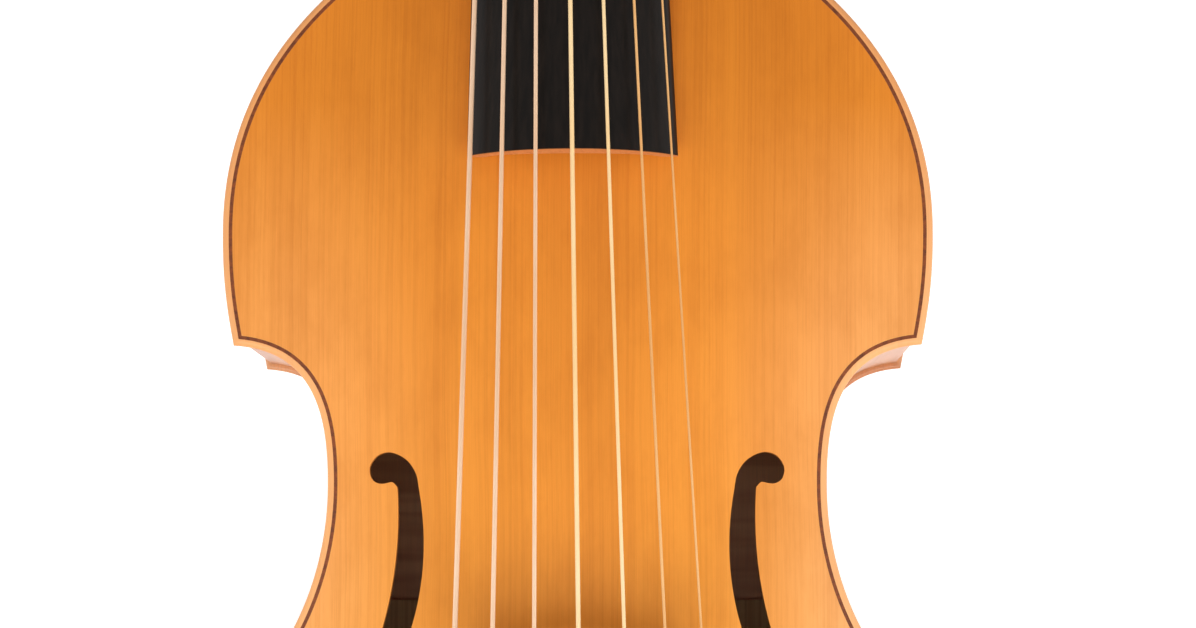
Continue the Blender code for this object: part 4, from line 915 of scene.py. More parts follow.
def core_section(y):
    """The core: an arch over a flat underside, hollowed towards the free end."""
    half = board_half(y)
    hollow = ease((HOLLOW_Y - y) / HOLLOW_RAMP) * HOLLOW_DEPTH
    x = np.linspace(-half, half, BOARD_COLUMNS)
    scoop = np.clip(1 - (x / (half - HOLLOW_WALL)) ** 2, 0, 1) ** 0.5
    return np.vstack([crown(y, -VENEER - GAP, 0.0), np.column_stack([x, glue_face(y) + hollow * scoop])])


board_ys = np.linspace(NUT_Y - GAP, BOARD_END_Y, BOARD_ROWS)
for name, section, wood, slot in (("veneer", veneer_section, ebony, "ebony"),
                                  ("core", core_section, end_grain, "bare_spruce")):
    add_piece(name, bar_along(name, board_ys, section), wood, stands_for=[f"fingerboard_{name}"])

# %% [markdown]
# The three lowest strings are gut wound with fine wire; the others are plain gut, the last two of them
# thinner and browner. They run from the tailpiece over the bridge and the nut to the pegs.

# %% Strings
BRIDGE_SPACING = (-0.0540, -0.0368, -0.0185, 0.0006, 0.0203, 0.0379, 0.0538)
NUT_SPACING = (-0.0298, -0.0195, -0.0103, 0.0005, 0.0091, 0.0179, 0.0269)
BRIDGE_ARCH = 0.072
BRIDGE_FOOT, BRIDGE_CROWN = 0.012, 0.005
AFTER_LENGTH = 0.095
TAIL_SPREAD, TAIL_RADIUS = 0.60, 0.070
TAIL_TOP_Y, TAIL_END_Y = -AFTER_LENGTH, -0.3075
TAIL_HEIGHTS = (0.055, 0.026)
TAIL_HALVES = (0.038, 0.013)
TAIL_THICKNESS = 0.0075
STRING_HOLE_IN, STRING_DROP = 0.012, 0.006     # from the tailpiece's end to its holes, and into them
NUT_THICKNESS = 0.007
PEGS, BASS_PEGS = 7, 4
PEG_LARGE, PEG_SMALL = 0.0062, 0.0050
PEG_CROWD = 0.55                 # the strings' spread at the pegs, as a share of that at the nut
STRAND_STEP = 0.004


def bridge_top(x):
    """Height of the bridge's crown."""
    return BRIDGE_TOP - sag(x, BRIDGE_ARCH)


def tail_share(y):
    """0 at the tailpiece's upper end and 1 at the hook."""
    return (TAIL_TOP_Y - y) / (TAIL_TOP_Y - TAIL_END_Y)


def tail_top(x, y):
    """Height of the tailpiece's arched top."""
    return EDGE_TOP + partway(TAIL_HEIGHTS, tail_share(y)) - sag(x, TAIL_RADIUS)


def nut_top(x):
    """Height of the nut's crown, where it meets the fingerboard."""
    return string_line(NUT_Y) - LOWEST - GAP - sag(x, BOARD_RADIUS)


def seat_over(x, arch_radius, radius):
    """How high a string's middle lies over an arched crown."""
    return (GAP + radius) / math.sqrt(1 - (x / arch_radius) ** 2)


def peg_of(k):
    """The peg of a string: the bass side's pegs from the nut outwards, then the treble side's back."""
    return 2 * k if k < BASS_PEGS else 2 * (PEGS - 1 - k) + 1


peg_middles = []
for k in range(PEGS):
    hinge = next(j for j in frame["joints"] if j["name"] == f"peg_{k + 1}_turn")
    peg_middles.append(np.array(hinge["pos_m"]))


def string_route(k):
    """The string's points: hole, tailpiece, bridge, nut and peg."""
    radius = STRING_DIAMETERS[k] / 2
    bridge, nut = BRIDGE_SPACING[k], NUT_SPACING[k]
    tail_x = bridge * TAIL_SPREAD
    hole_y = TAIL_TOP_Y - STRING_HOLE_IN
    tail_seat = seat_over(tail_x, TAIL_RADIUS, radius)
    flat = BRIDGE_CROWN / 2 + 2 * GAP
    bridge_z = bridge_top(bridge) + seat_over(bridge, BRIDGE_ARCH, radius)
    nut_z = nut_top(nut) + seat_over(nut, BOARD_RADIUS, radius)
    peg = peg_middles[peg_of(k)]
    return np.array([
        (NECK_X + tail_x, hole_y, tail_top(tail_x, hole_y) + tail_seat - STRING_DROP),
        (NECK_X + tail_x, hole_y, tail_top(tail_x, hole_y) + tail_seat),
        (NECK_X + tail_x, TAIL_TOP_Y, tail_top(tail_x, TAIL_TOP_Y) + tail_seat),
        (NECK_X + bridge, -flat, bridge_z), (NECK_X + bridge, flat, bridge_z),
        (neck_x(NUT_Y) + nut, NUT_Y, nut_z),
        (neck_x(NUT_Y) + nut, NUT_Y + NUT_THICKNESS, nut_z - math.tan(STRING_SLOPE) * NUT_THICKNESS),
        (peg[0] + nut * PEG_CROWD, peg[1], peg[2] + PEG_LARGE + GAP + radius)])


STRING_LOOKS = (overspun, overspun, overspun, gut, gut, thin_gut, thin_gut)
for k in range(PEGS):
    name = f"string_{k + 1}_strand"
    mesh = strand(name, along(string_route(k), STRAND_STEP), STRING_DIAMETERS[k] / 2)
    add_piece(name, mesh, STRING_LOOKS[k], stands_for=[f"string_{k + 1}"], smooth_angle=60)
print("strings strung")

# %% [markdown]
# ## Neck, pegbox and scroll
# They are carved from one piece of maple. A row of sections runs from the heel to the end of the
# pegbox: each has a flat top and a rounded underside, squarer as its power grows. A smooth curve
# through the rows gives the ones between. The slot for the strings and the peg holes are then cut.

# %% Neck
NECK_DEPTHS = (0.013, 0.016)     # under the glue face, at the nut and at the heel
NECK_STATIONS = (0.50, 0.55, 0.60, 0.64)
HEEL_LENGTH, HEEL_SWEEP = 0.020, 0.034
HEEL_ANGLES = np.radians(np.arange(8, 91, 6))
HEEL_POWER, NECK_POWER, NUT_POWER = 3.0, 2.0, 2.4
THROAT_IN, THROAT_SWELL = 0.012, 0.004         # where the neck ends before the nut, and its extra depth
NECK_STEPS = 6
PEGBOX_SLOPE = math.radians(12.5)
PEGBOX_LENGTH = 0.200
PEGBOX_RISE = 0.003
PEGBOX_END_HALF = 0.020
PEGBOX_DEPTHS = (0.032, 0.024)
PEGBOX_CHEEK, PEGBOX_FLOOR = 0.0075, 0.007
CAVITY_RAMP, CAVITY_END = (0.009, 0.028), 0.186
CAVITY_START_DEPTH = 0.012
CAVITY_OVER = 0.02               # how far the cutter stands over the pegbox
PEGBOX_Y = NUT_Y + GAP + NUT_THICKNESS + GAP


def pegbox_point(along, over):
    """The y and z of a place along the pegbox and over its top edge."""
    c, s = math.cos(PEGBOX_SLOPE), math.sin(PEGBOX_SLOPE)
    return PEGBOX_Y + along * c + over * s, glue_face(PEGBOX_Y) + PEGBOX_RISE - along * s + over * c


def pegbox_half(along):
    """Half the pegbox's outer width."""
    return partway((board_half(NUT_Y), PEGBOX_END_HALF), along / PEGBOX_LENGTH)


def pegbox_depth(along):
    """The pegbox's outer depth."""
    return partway(PEGBOX_DEPTHS, along / PEGBOX_LENGTH)


def neck_depth(y):
    """The neck's depth without its heel."""
    return partway(NECK_DEPTHS, (NUT_Y - y) / (NUT_Y - TOP_Y))


def neck_row(y, depth, power):
    """One section of the neck: place, top, half width, depth and power."""
    return y, glue_face(y) - GAP, board_half(y), depth, power


def pegbox_row(along, throat, power):
    """One section of the pegbox; the throat is a share of its full depth."""
    y, top = pegbox_point(along, 0.0)
    return y, top, pegbox_half(along), pegbox_depth(along) * throat, power


def rounded_underside(rows, count=40):
    """Sections with a flat top: (cos a, -sin a), each raised to the power 2 / the row's power."""
    y, top, half, depth, power = (rows[:, k, None] for k in range(5))
    a = np.linspace(0, np.pi, count + 1)[None]
    c, s = np.cos(a), np.abs(np.sin(a))
    x = half * np.sign(c) * np.abs(np.where(np.abs(c) < 1e-9, 0, c)) ** (2 / power)
    return np.stack([neck_x(y) + x, np.broadcast_to(y, x.shape), top - depth * s ** (2 / power)], -1)


def heel_depth(y):
    """Depth from the glue face down to the heel's foot on the back."""
    return glue_face(y) - float(back_rise(TOP_Y))


foot = TOP_Y + GAP
heel_rows = [neck_row(y, heel_depth(y), HEEL_POWER)
             for y in (foot, foot + HEEL_LENGTH / 2, foot + HEEL_LENGTH)]
for angle in HEEL_ANGLES:
    y = foot + HEEL_LENGTH + HEEL_SWEEP * (1 - math.cos(angle))
    drop = 1 - math.sin(angle)
    depth, power = partway((neck_depth(y), heel_depth(y)), drop), partway((NECK_POWER, HEEL_POWER), drop)
    heel_rows.append(neck_row(y, depth, power))
neck_rows = [neck_row(y, neck_depth(y), NECK_POWER) for y in (*NECK_STATIONS, NUT_Y - THROAT_IN)]
neck_rows.append(neck_row(PEGBOX_Y - GAP / 2, neck_depth(NUT_Y) + THROAT_SWELL, NUT_POWER))
# Places along the pegbox, the share of its full depth there, and the power
THROAT = ((0.0, 0.55, 2.5), (0.012, 0.80, 4.0), (0.026, 0.97, 7.0), (0.045, 1.0, 9.0), (0.12, 1.0, 9.0),
          (PEGBOX_LENGTH, 1.0, 9.0))
front_rows = np.vstack([np.array(heel_rows), smooth_through(np.array(neck_rows), NECK_STEPS)])
box_rows = smooth_through(np.array([pegbox_row(*row) for row in THROAT]), NECK_STEPS)
neck_mesh = shell("neck_carved", rounded_underside(np.vstack([front_rows, box_rows])))
ASIDE = (0.3, 0.5, 0.81)         # any direction that no rod runs along


def rod(start, end, radii, sides=32):
    """A straight rod or cone between two points."""
    start, end = np.array(start, float), np.array(end, float)
    ahead = (end - start) / np.linalg.norm(end - start)
    right = np.cross(ahead, ASIDE)
    right /= np.linalg.norm(right)
    over = np.cross(ahead, right)
    a = np.linspace(0, 2 * np.pi, sides, endpoint=False)[:, None]
    ring = np.cos(a) * right + np.sin(a) * over
    return shell("rod", np.stack([place + r * ring for place, r in zip((start, end), radii)]))


def slot_cutter():
    """The string slot: cheeks stay on both sides, and the floor slopes down from the nut."""
    floors = [(place, pegbox_depth(place) - PEGBOX_FLOOR) for place in (CAVITY_RAMP[1], CAVITY_END)]
    rings = []
    for place, deep in [(CAVITY_RAMP[0], CAVITY_START_DEPTH)] + floors:
        half = pegbox_half(place) - PEGBOX_CHEEK
        y, high = pegbox_point(place, CAVITY_OVER)
        low_y, low = pegbox_point(place, -deep)
        left, right = neck_x(y) - half, neck_x(y) + half
        rings.append([(left, y, high), (right, y, high), (right, low_y, low), (left, low_y, low)])
    return shell("slot", np.array(rings))


TURNING_GAP = 0.0003
FIRST_PEG, PEG_SPACING = 0.026, 0.0252
PEG_HOLE_SIDES = 24


def peg_side(k):
    """-1 for a peg whose head is on the bass side and 1 for the treble side."""
    return -1 if k % 2 == 0 else 1


def half_at_peg(k):
    """Half the pegbox's width at a peg."""
    return pegbox_half(FIRST_PEG + k * PEG_SPACING)


cutters = [slot_cutter()]
for k, middle in enumerate(peg_middles):
    reach = np.array([peg_side(k) * (half_at_peg(k) + PAST), 0, 0])
    flare = (PEG_LARGE - PEG_SMALL) / (2 * half_at_peg(k)) * PAST
    radii = (PEG_SMALL - flare + TURNING_GAP, PEG_LARGE + flare + TURNING_GAP)
    cutters.append(rod(middle - reach, middle + reach, radii, PEG_HOLE_SIDES))
add_piece("neck_carved", carve(neck_mesh, cutters), neck_maple, stands_for=["neck"])

# %% [markdown]
# The scroll is a band that rolls up: its radius shrinks steadily with the turn while its width
# grows, so that the eye stands out furthest. Two shallow flutes run along the band's outer face.

# %% Scroll
SCROLL_AT = (0.221, -0.014)      # along and over the pegbox's top edge
SCROLL_RADIUS = 0.0265
SCROLL_START, SCROLL_END = math.radians(-165), math.radians(500)
SWELL_FROM, SWELL_TURN = 0.70, math.radians(95)     # share of the radius at the start, and until full
SCROLL_SHRINK = 0.70             # share of the radius that is lost by the end
BAND_ROWS, BAND_COLUMNS = 150, 25
BAND_THICKNESS, BAND_CORNER = 0.0120, 0.0012
BAND_HALF, BAND_GROWTH, BAND_POWER = 0.0172, 0.0070, 1.2
EYE_RADIUS, EYE_HALF = 0.0075, 0.0258
EYE_SIDES, EYE_CORE = 40, 0.30   # the core is the share of the eye's radius that is flat, under the band
FLUTE_DEPTH, FLUTE_FADE = 0.0014, 0.5
# Places along the eye's axis and its radii there, as shares of its half length and its radius
EYE_DOME = ((-1.0, EYE_CORE), (-0.985, 0.62), (-0.95, 0.86), (-0.90, 1.0), (0.90, 1.0), (0.95, 0.86),
            (0.985, 0.62), (1.0, EYE_CORE))


def scroll_radius(turn):
    """The band's outer radius: it swells out of the pegbox and then shrinks steadily."""
    swell = partway((SWELL_FROM, 1.0), ease((turn - SCROLL_START) / SWELL_TURN))
    share = np.clip(turn / SCROLL_END, 0, 1)
    return SCROLL_RADIUS * swell * (1 - SCROLL_SHRINK * share)


def scroll_band():
    """Sections of the band: fluted outside, flat inside, wider at each turn."""
    turns = np.linspace(SCROLL_START, SCROLL_END, BAND_ROWS)
    radius = scroll_radius(turns)[:, None]
    thick = np.minimum(BAND_THICKNESS, radius - EYE_CORE * EYE_RADIUS)
    share = ((turns - SCROLL_START) / (SCROLL_END - SCROLL_START))[:, None]
    half = BAND_HALF + BAND_GROWTH * share ** BAND_POWER
    u = np.linspace(-1, 1, BAND_COLUMNS)
    flute = FLUTE_DEPTH * np.sin(np.pi * np.abs(u)) ** 2 * (1 - FLUTE_FADE * share)
    corner = BAND_CORNER * np.abs(u) ** 12
    outer = np.stack([half * u, radius - flute - corner], -1)
    inner = np.stack(np.broadcast_arrays(half * u[::-1], radius - thick), -1)
    section = np.concatenate([outer, inner], axis=1)
    place = SCROLL_AT[0] + section[..., 1] * np.cos(turns)[:, None]
    over = SCROLL_AT[1] + section[..., 1] * np.sin(turns)[:, None]
    y, z = pegbox_point(place, over)
    return np.stack([neck_x(y) + section[..., 0], y, z], -1)


def scroll_eye():
    """Rings of the eye: a short axle across the scroll, with a dome at each end."""
    y, z = pegbox_point(*SCROLL_AT)
    share, size = np.array(EYE_DOME).T[:, :, None]
    a = np.linspace(0, 2 * np.pi, EYE_SIDES, endpoint=False)
    grid = np.broadcast_arrays(neck_x(y) + share * EYE_HALF, y + size * EYE_RADIUS * np.cos(a),
                               z + size * EYE_RADIUS * np.sin(a))
    return np.stack(grid, -1)


for name, grid in (("scroll", scroll_band()), ("scroll_eye", scroll_eye())):
    add_piece(name, shell(name, grid), neck_maple)
print("neck, scroll and eye carved")

# %% [markdown]
# ## Pegs and the strings' windings
# Each peg is turned boxwood: a tapered shaft, two beads at the collar and a flat thumb piece. Where a
# string reaches its peg, its end is wound round the shaft, and the winding turns with the peg.

# %% Pegs
PEG_TIP, PEG_TIP_SHARE = 0.0015, 0.6           # the tip's length, and its end's share of the radius
PEG_SHOULDER = 0.001             # how far the shaft runs on under the head
SHAFT_ROWS, HEAD_STEPS, PEG_SIDES = 10, 4, 40
DISH_FULL, DISH_DEPTH, DISH_WIDTH = 0.006, 0.25, 0.55
WINDING_TURNS, WINDING_STEPS, WINDING_SIDES = 5, 24, 8
WINDING_PITCH = 2.15             # radii of the string from one turn to the next
WINDING_GAP = 0.0001
# Places past the cheek, half width and half thickness of the collar and thumb piece
HEAD = np.array([(0.0016, 0.0063, 0.0063), (0.0024, 0.0076, 0.0076), (0.0036, 0.0079, 0.0079),
                 (0.0048, 0.0072, 0.0072), (0.0054, 0.0060, 0.0060), (0.0062, 0.0066, 0.0066),
                 (0.0070, 0.0060, 0.0060), (0.0082, 0.0046, 0.0046), (0.0110, 0.0044, 0.0042),
                 (0.0140, 0.0060, 0.0043), (0.0185, 0.0094, 0.0042), (0.0240, 0.0114, 0.0039),
                 (0.0290, 0.0117, 0.0036), (0.0340, 0.0102, 0.0032), (0.0375, 0.0074, 0.0028),
                 (0.0393, 0.0042, 0.0022), (0.0399, 0.0015, 0.0012)])


def peg_radius(x, half):
    """The tapered shaft's radius: small in the far cheek and large under the head."""
    return partway((PEG_SMALL, PEG_LARGE), (x + half) / (2 * half))


def peg_grid(k):
    """Rings along the peg's axis: round on the shaft, flat ovals with dished faces on the thumb piece."""
    middle, half = peg_middles[k], half_at_peg(k)
    x = np.linspace(-half - PEG_TIP, half + PEG_SHOULDER, SHAFT_ROWS)
    radius = peg_radius(x, half)
    shaft = np.column_stack([x, radius, radius])
    tip = shaft[:1] * (1, PEG_TIP_SHARE, PEG_TIP_SHARE)
    head = smooth_through(HEAD, HEAD_STEPS)
    head[:, 0] += half
    rows = np.vstack([tip, shaft, head])
    a = np.linspace(0, 2 * np.pi, PEG_SIDES, endpoint=False)[None]
    wide, thick = rows[:, 1, None], rows[:, 2, None]
    flat = np.clip((wide - thick) / DISH_FULL, 0, 1)
    dish = 1 - DISH_DEPTH * flat * np.exp(-(np.cos(a) / DISH_WIDTH) ** 2)
    y = middle[1] + wide * np.cos(a)
    z = middle[2] + thick * dish * np.sin(a)
    return np.stack([np.broadcast_to(middle[0] + peg_side(k) * rows[:, :1], y.shape), y, z], -1)


def winding_path(k):
    """A string's end round its peg: a helix that closes in on the middle and rests on the taper."""
    peg = peg_of(k)
    middle, radius = peg_middles[peg], STRING_DIAMETERS[k] / 2
    start = NUT_SPACING[k] * PEG_CROWD
    turn = np.linspace(0, 2 * np.pi * WINDING_TURNS, WINDING_TURNS * WINDING_STEPS)
    way = -1 if start > 0 else 1
    x = start + way * WINDING_PITCH * radius * turn / (2 * np.pi)
    shaft = peg_radius(peg_side(peg) * x, half_at_peg(peg))
    reach = np.maximum(shaft, PEG_SMALL) + radius + WINDING_GAP
    return middle + np.column_stack([x, reach * np.sin(turn), reach * np.cos(turn)])


for k in range(PEGS):
    add_piece(f"peg_{k + 1}_turned", shell(f"peg_{k + 1}_turned", peg_grid(k)), boxwood,
              body=f"peg_{k + 1}_body", stands_for=[f"peg_{k + 1}"], smooth_angle=50)
for k in range(PEGS):
    name = f"winding_{k + 1}"
    add_piece(name, strand(name, winding_path(k), STRING_DIAMETERS[k] / 2, WINDING_SIDES), STRING_LOOKS[k],
              body=f"peg_{peg_of(k) + 1}_body", smooth_angle=60)
print("pegs and windings made")

# %% [markdown]
# ## Frets
# A viol's frets are gut, tied round the neck twice, so each shows as two strands side by side with a
# knot on the bass side. They slide along the neck for tuning, so each rides on its own body.

# %% Frets
FRETS = 7
FRET_GAP, FRET_RADIUS = 0.0005, 0.0006         # of the plain ring that each fret is in the frame
FRET_STAND_OFF = FRET_GAP + FRET_RADIUS
FRET_STRAND = 0.00046            # radius of one strand
STRAND_APART = 1.02              # of the two strands, as a share of their width
FRET_BEND = 0.4
FRET_OVER, FRET_UNDER = 25, 29   # points over the board and under the neck
KNOT_RADIUS = 0.0013
KNOT_OUT, KNOT_DOWN = 0.0004, 0.001            # the knot's place beside the board's lower edge
KNOT_PATH = 0.001                # a short path that the knot's UV map is read along


def fret_y(k):
    """A fret's place, by equal semitones."""
    return NUT_Y - STRING_LENGTH * (1 - 2 ** (-(k + 1) / 12)) * math.cos(STRING_SLOPE)


fret_axis = np.array(next(j for j in frame["joints"] if j["name"] == "fret_1_slide")["axis"])


def fret_loop(y):
    """The path round board and neck at one place: over the arch, round both edges and under."""
    lift, half = FRET_STAND_OFF, board_half(y)
    x = np.linspace(half, -half, FRET_OVER)
    over = np.column_stack([x, board_top(y) + lift - sag(x, BOARD_RADIUS + lift)])
    edge = board_top(y) - sag(half, BOARD_RADIUS)
    turns = [np.array([(e * (half + out * lift), edge + up * lift)
                       for out, up in ((FRET_BEND, 1), (1, FRET_BEND))]) for e in (-1, 1)]
    a = np.linspace(np.pi, 0, FRET_UNDER)
    under_z = glue_face(y) - GAP - (neck_depth(y) + lift) * np.sin(a)
    under = np.column_stack([(half + lift) * np.cos(a), under_z])
    x, z = np.vstack([over, turns[0], under, turns[1][::-1]]).T
    return np.column_stack([neck_x(y) + x, np.full(len(x), y), z])


def tied_fret(k):
    """The paths of a fret's two strands, side by side, leaning with the neck."""
    y = fret_y(k)
    path = fret_loop(y)
    path[:, 1] += (path[:, 2] - glue_face(y)) * -fret_axis[2] / fret_axis[1]
    return [path + np.array([0, e * FRET_STRAND * STRAND_APART, 0]) for e in (-1, 1)]


def knot(place, radius):
    """A small knot: a lumpy spindle along the neck, pinched twice where the gut crosses itself."""
    s = np.linspace(-1, 1, 25)[:, None]
    a = np.linspace(0, 2 * np.pi, 16, endpoint=False)[None]
    swell = radius * (np.sqrt(np.clip(1 - s ** 2, 0, 1)) * (0.82 + 0.22 * np.cos(3 * np.pi * s)) + 0.02)
    return np.stack([place[0] + swell * np.cos(a) * 0.8, place[1] + 2.2 * radius * s + 0 * a,
                     place[2] + swell * np.sin(a)], -1)


for k in range(FRETS):
    body = f"fret_{k + 1}_body"
    for label, path in zip(("lower", "upper"), tied_fret(k)):
        name = f"fret_{k + 1}_{label}_strand"
        stands = [f"fret_{k + 1}"] if label == "lower" else ()
        add_piece(name, strand(name, path, FRET_STRAND, 10, closed=True), fret_gut, body=body,
                  stands_for=stands, smooth_angle=60)
    y = fret_y(k)
    place = np.array([neck_x(y) - board_half(y) - FRET_STAND_OFF - KNOT_OUT, y, glue_face(y) - KNOT_DOWN])
    mesh = shell(f"fret_{k + 1}_knot", knot(place, KNOT_RADIUS))
    mesh = mesh_with_strand_uv(mesh, np.array([place, place + KNOT_PATH]))
    add_piece(f"fret_{k + 1}_knot", mesh, fret_gut, body=body)
print("frets tied")

# %% [markdown]
# ## Nut, bridge, tailpiece and hook bar
# The nut is a strip of bone with a rounded crown. The bridge stands on the front by the pull of the
# strings alone: a thin maple arch on two feet, pierced to lighten it.

# %% Nut
NUT_ROWS, NUT_COLUMNS = 61, 12
NUT_ROUNDING, NUT_BOARD_SIDE = 0.0012, 0.3     # of the crown's edges, and the share on the board's side


def nut_section(x):
    """The nut at one place across: a crown with rounded edges over a flat foot."""
    y = np.linspace(NUT_Y, NUT_Y + NUT_THICKNESS, NUT_COLUMNS)
    across = np.linspace(-1, 1, NUT_COLUMNS)
    rounding = NUT_ROUNDING * np.abs(across) ** 6 * np.where(across < 0, NUT_BOARD_SIDE, 1)
    crown_z = nut_top(x) - np.tan(STRING_SLOPE) * (y - NUT_Y) - rounding
    foot_y = y[[-1, 0]]
    y, z = np.concatenate([y, foot_y]), np.concatenate([crown_z, glue_face(foot_y)])
    return np.column_stack([np.full(len(y), neck_x(NUT_Y) + x), y, z])


nut_grid = np.stack([nut_section(share * board_half(NUT_Y)) for share in np.linspace(-1, 1, NUT_ROWS)])
add_piece("bone_nut", shell("bone_nut", nut_grid), bone, stands_for=["nut"])

# %% Bridge
BRIDGE_HALF = 0.058
ARCH_CUT = (0.0, 0.018, 0.025)   # middle, height over the edge, and radius
SIDE_CUT = (0.064, 0.036, 0.019)
EYE_CUT = (0.027, 0.052, 0.0075)
HEART_AT, HEART_SIZE, HEART_REACH = 0.064, 0.0092, 0.02
BRIDGE_ROWS, BRIDGE_LEVELS, CUT_SIDES = 121, 9, 64
SHARP = math.radians(50)         # edges bent by more than this are rounded


def round_edges(thing, width):
    """Round a piece's sharp edges."""
    bevel = thing.modifiers.new("rounding", "BEVEL")
    bevel.width, bevel.segments = width, 2
    bevel.limit_method, bevel.angle_limit = "ANGLE", SHARP


def heart_plan(count=48):
    """A heart in the bridge's plane: x = sin^3 t, z = a sum of four cosines."""
    t = np.linspace(0, 2 * np.pi, count, endpoint=False)
    x = 16 * np.sin(t) ** 3
    z = 13 * np.cos(t) - 5 * np.cos(2 * t) - 2 * np.cos(3 * t) - np.cos(4 * t)
    return np.column_stack([x, z]) / 17 * HEART_SIZE


def bridge_section(x):
    """The bridge at one place across: up one face and down the other, thinner towards the crown."""
    low = float(front_top(np.array(NECK_X + x), np.array(0.0))) + GAP
    levels = np.linspace(0, 1, BRIDGE_LEVELS)
    half = partway((BRIDGE_FOOT / 2, BRIDGE_CROWN / 2), levels)
    z = partway((low, bridge_top(x)), levels)
    y, z = np.concatenate([-half, half[::-1]]), np.concatenate([z, z[::-1]])
    return np.column_stack([np.full(len(y), NECK_X + x), y, z])


bridge_cuts = []
mirrored = [(side * x, over, radius) for x, over, radius in (SIDE_CUT, EYE_CUT) for side in (1, -1)]
for x, over, radius in [ARCH_CUT] + mirrored:
    ends = [(NECK_X + x, e * (BRIDGE_FOOT / 2 + PAST), EDGE_TOP + over) for e in (-1, 1)]
    bridge_cuts.append(rod(*ends, (radius, radius), CUT_SIDES))
x, over = heart_plan().T
rings = [np.column_stack([NECK_X + x, np.full(len(x), e * HEART_REACH), EDGE_TOP + HEART_AT + over])
         for e in (-1, 1)]
bridge_cuts.append(shell("heart", np.stack(rings)))
bridge_grid = np.stack([bridge_section(x) for x in np.linspace(-BRIDGE_HALF, BRIDGE_HALF, BRIDGE_ROWS)])
bridge_mesh = carve(shell("bridge_cut", bridge_grid), bridge_cuts)
bridge = add_piece("bridge_cut", bridge_mesh, plain_maple, stands_for=["bridge"])
round_edges(bridge, 0.0005)

# %% [markdown]
# The tailpiece is a dark, arched board. Its upper end holds the strings in a row of holes; its lower
# end is hooked over the tongue of a bar that is let into the edge of the front at the bottom.

# %% Tailpiece and hook bar
HOOK_TONGUE_HALF, HOOK_TONGUE_RISE = 0.006, 0.005
HOOK_BAR_THICKNESS, HOOK_BAR_LOW = 0.009, 0.060
TAIL_ROWS, TAIL_COLUMNS, TAIL_UNDER_COLUMNS = 64, 41, 21
TAIL_EDGE, TAIL_FLAT = 0.003, 0.75             # the edge's thickness, and the flat share of the underside
TAIL_FOLLOW = 0.7                # how far the underside follows the fall of the top
STRING_HOLE_RADIUS, STRING_HOLE_DEPTH = 0.002, 0.03
TONGUE_CHAMFER = 0.001


def tail_half(y):
    """Half the tailpiece's width."""
    return partway(TAIL_HALVES, tail_share(y))


def tail_under(y):
    """Height of the tailpiece's underside."""
    return tail_top(0.0, y) - TAIL_THICKNESS - sag(tail_half(y), TAIL_RADIUS) * TAIL_FOLLOW


def tail_section(y):
    """The tailpiece at one place along it: an arched top, and an underside bowed up to thin edges."""
    half, low = tail_half(y), tail_under(y)
    x = np.linspace(half, -half, TAIL_COLUMNS)
    under_x = np.linspace(-half, half, TAIL_UNDER_COLUMNS)
    bow = np.clip((np.abs(under_x) / half - TAIL_FLAT) / (1 - TAIL_FLAT), 0, 1) ** 2
    under_z = partway((low, max(low, tail_top(half, y) - TAIL_EDGE)), bow)
    x, z = np.concatenate([x, under_x]), np.concatenate([tail_top(x, y), under_z])
    return np.column_stack([NECK_X + x, np.full(len(x), y), z])


inner_face = BOTTOM_Y + OVERHANG - GAP
outer_face = inner_face - HOOK_BAR_THICKNESS
tongue_outside, tongue_inside = outer_face + GAP, inner_face - GAP
tail_cuts = []
for spacing in BRIDGE_SPACING:
    x, y = spacing * TAIL_SPREAD, TAIL_TOP_Y - STRING_HOLE_IN
    z = tail_top(x, y)
    ends = [(NECK_X + x, y, z - STRING_HOLE_DEPTH), (NECK_X + x, y, z + PAST)]
    tail_cuts.append(rod(*ends, (STRING_HOLE_RADIUS, STRING_HOLE_RADIUS), 20))
slot_half = HOOK_TONGUE_HALF + GAP
plan = oblong(NECK_X - slot_half, NECK_X + slot_half, tongue_outside - GAP, tongue_inside + GAP)
tail_cuts.append(prism("tongue_slot", plan, EDGE_TOP, EDGE_TOP + TAIL_HEIGHTS[0] + 2 * PAST))
tail_grid = np.stack([tail_section(y) for y in np.linspace(TAIL_TOP_Y, TAIL_END_Y, TAIL_ROWS)])
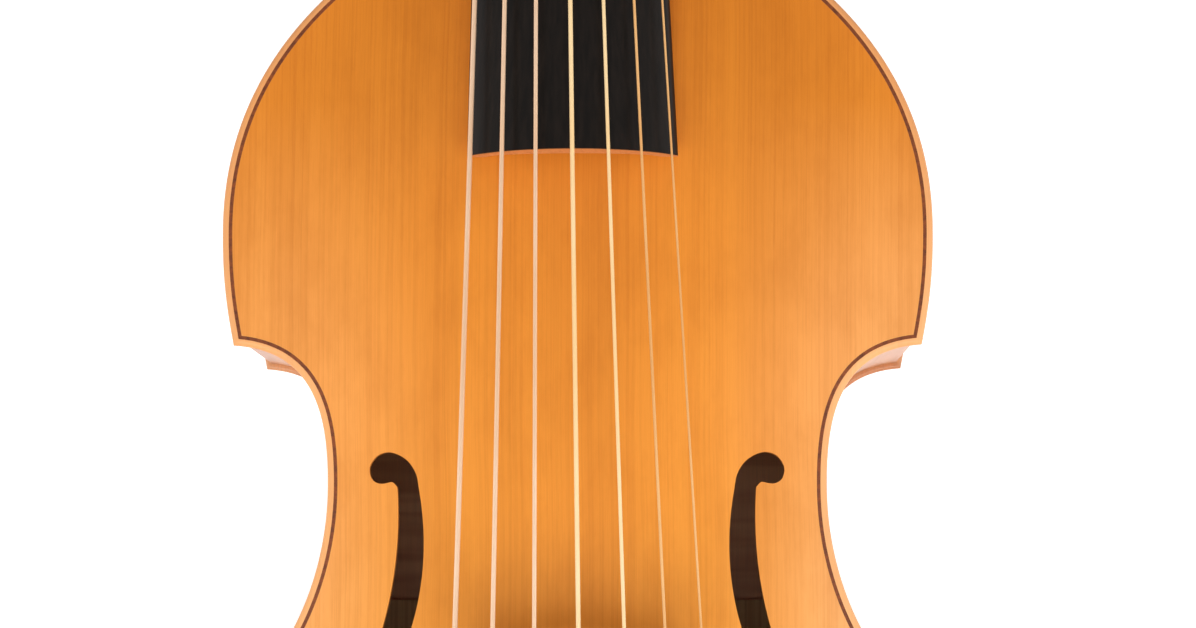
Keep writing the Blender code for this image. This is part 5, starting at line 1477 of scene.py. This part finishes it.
tail = add_piece("tailpiece_board", carve(shell("tailpiece_board", tail_grid), tail_cuts), ebony,
                 stands_for=["tailpiece"])
round_edges(tail, 0.0006)

shoulder = float(tail_under(outer_face)) - 2 * GAP
top = float(tail_top(0.0, outer_face)) + HOOK_TONGUE_RISE
bar_half = HOOK_BAR_HALF - GAP
# Height, half width, outer face and middle of each ring, from the bar's toe to the tongue's tip
bar_rows = [(HOOK_BAR_LOW, bar_half * 0.55, outer_face + 0.003, 0.0),
            (HOOK_BAR_LOW + 0.004, bar_half * 0.85, outer_face, 0.0),
            (HOOK_BAR_LOW + 0.010, bar_half, outer_face, 0.0),
            (EDGE_TOP, bar_half, outer_face, 0.0),
            (shoulder, bar_half, outer_face, NECK_X),
            (shoulder, HOOK_TONGUE_HALF, tongue_outside, NECK_X),
            (top - TONGUE_CHAMFER, HOOK_TONGUE_HALF, tongue_outside, NECK_X),
            (top, HOOK_TONGUE_HALF - TONGUE_CHAMFER, tongue_outside + TONGUE_CHAMFER, NECK_X)]
rings = []
for z, half, outside, middle in bar_rows:
    inside = inner_face if z <= shoulder and half > HOOK_TONGUE_HALF else tongue_inside
    left, right = middle - half, middle + half
    rings.append([(left, outside, z), (right, outside, z), (right, inside, z), (left, inside, z)])
hook_bar = add_piece("hook_bar_carved", shell("hook_bar_carved", np.array(rings)), neck_maple,
                     stands_for=["hook_bar"])
round_edges(hook_bar, 0.0008)
print("bridge, tailpiece and hook bar made")

# %% [markdown]
# ## Inside the body
# Linings, blocks, bars, the sound post and its plate keep their shapes from the frame. They only show
# through the sound holes, and they get the bare spruce that a maker leaves inside.

# %% Carried-over pieces
LOOKS = {"varnished_spruce": spruce, "varnished_maple": neck_maple, "plain_maple": plain_maple,
         "bare_spruce": bare_spruce, "ebony": ebony, "boxwood": boxwood, "bone": bone, "gut": fret_gut,
         "overspun_gut": overspun}
slots = {entry["node"]: entry["material_slot"] for entry in frame["record"]["subparts"]}
for name, thing in frame["nodes"].items():
    for place in thing.material_slots:
        place.material = LOOKS[slots[name]]
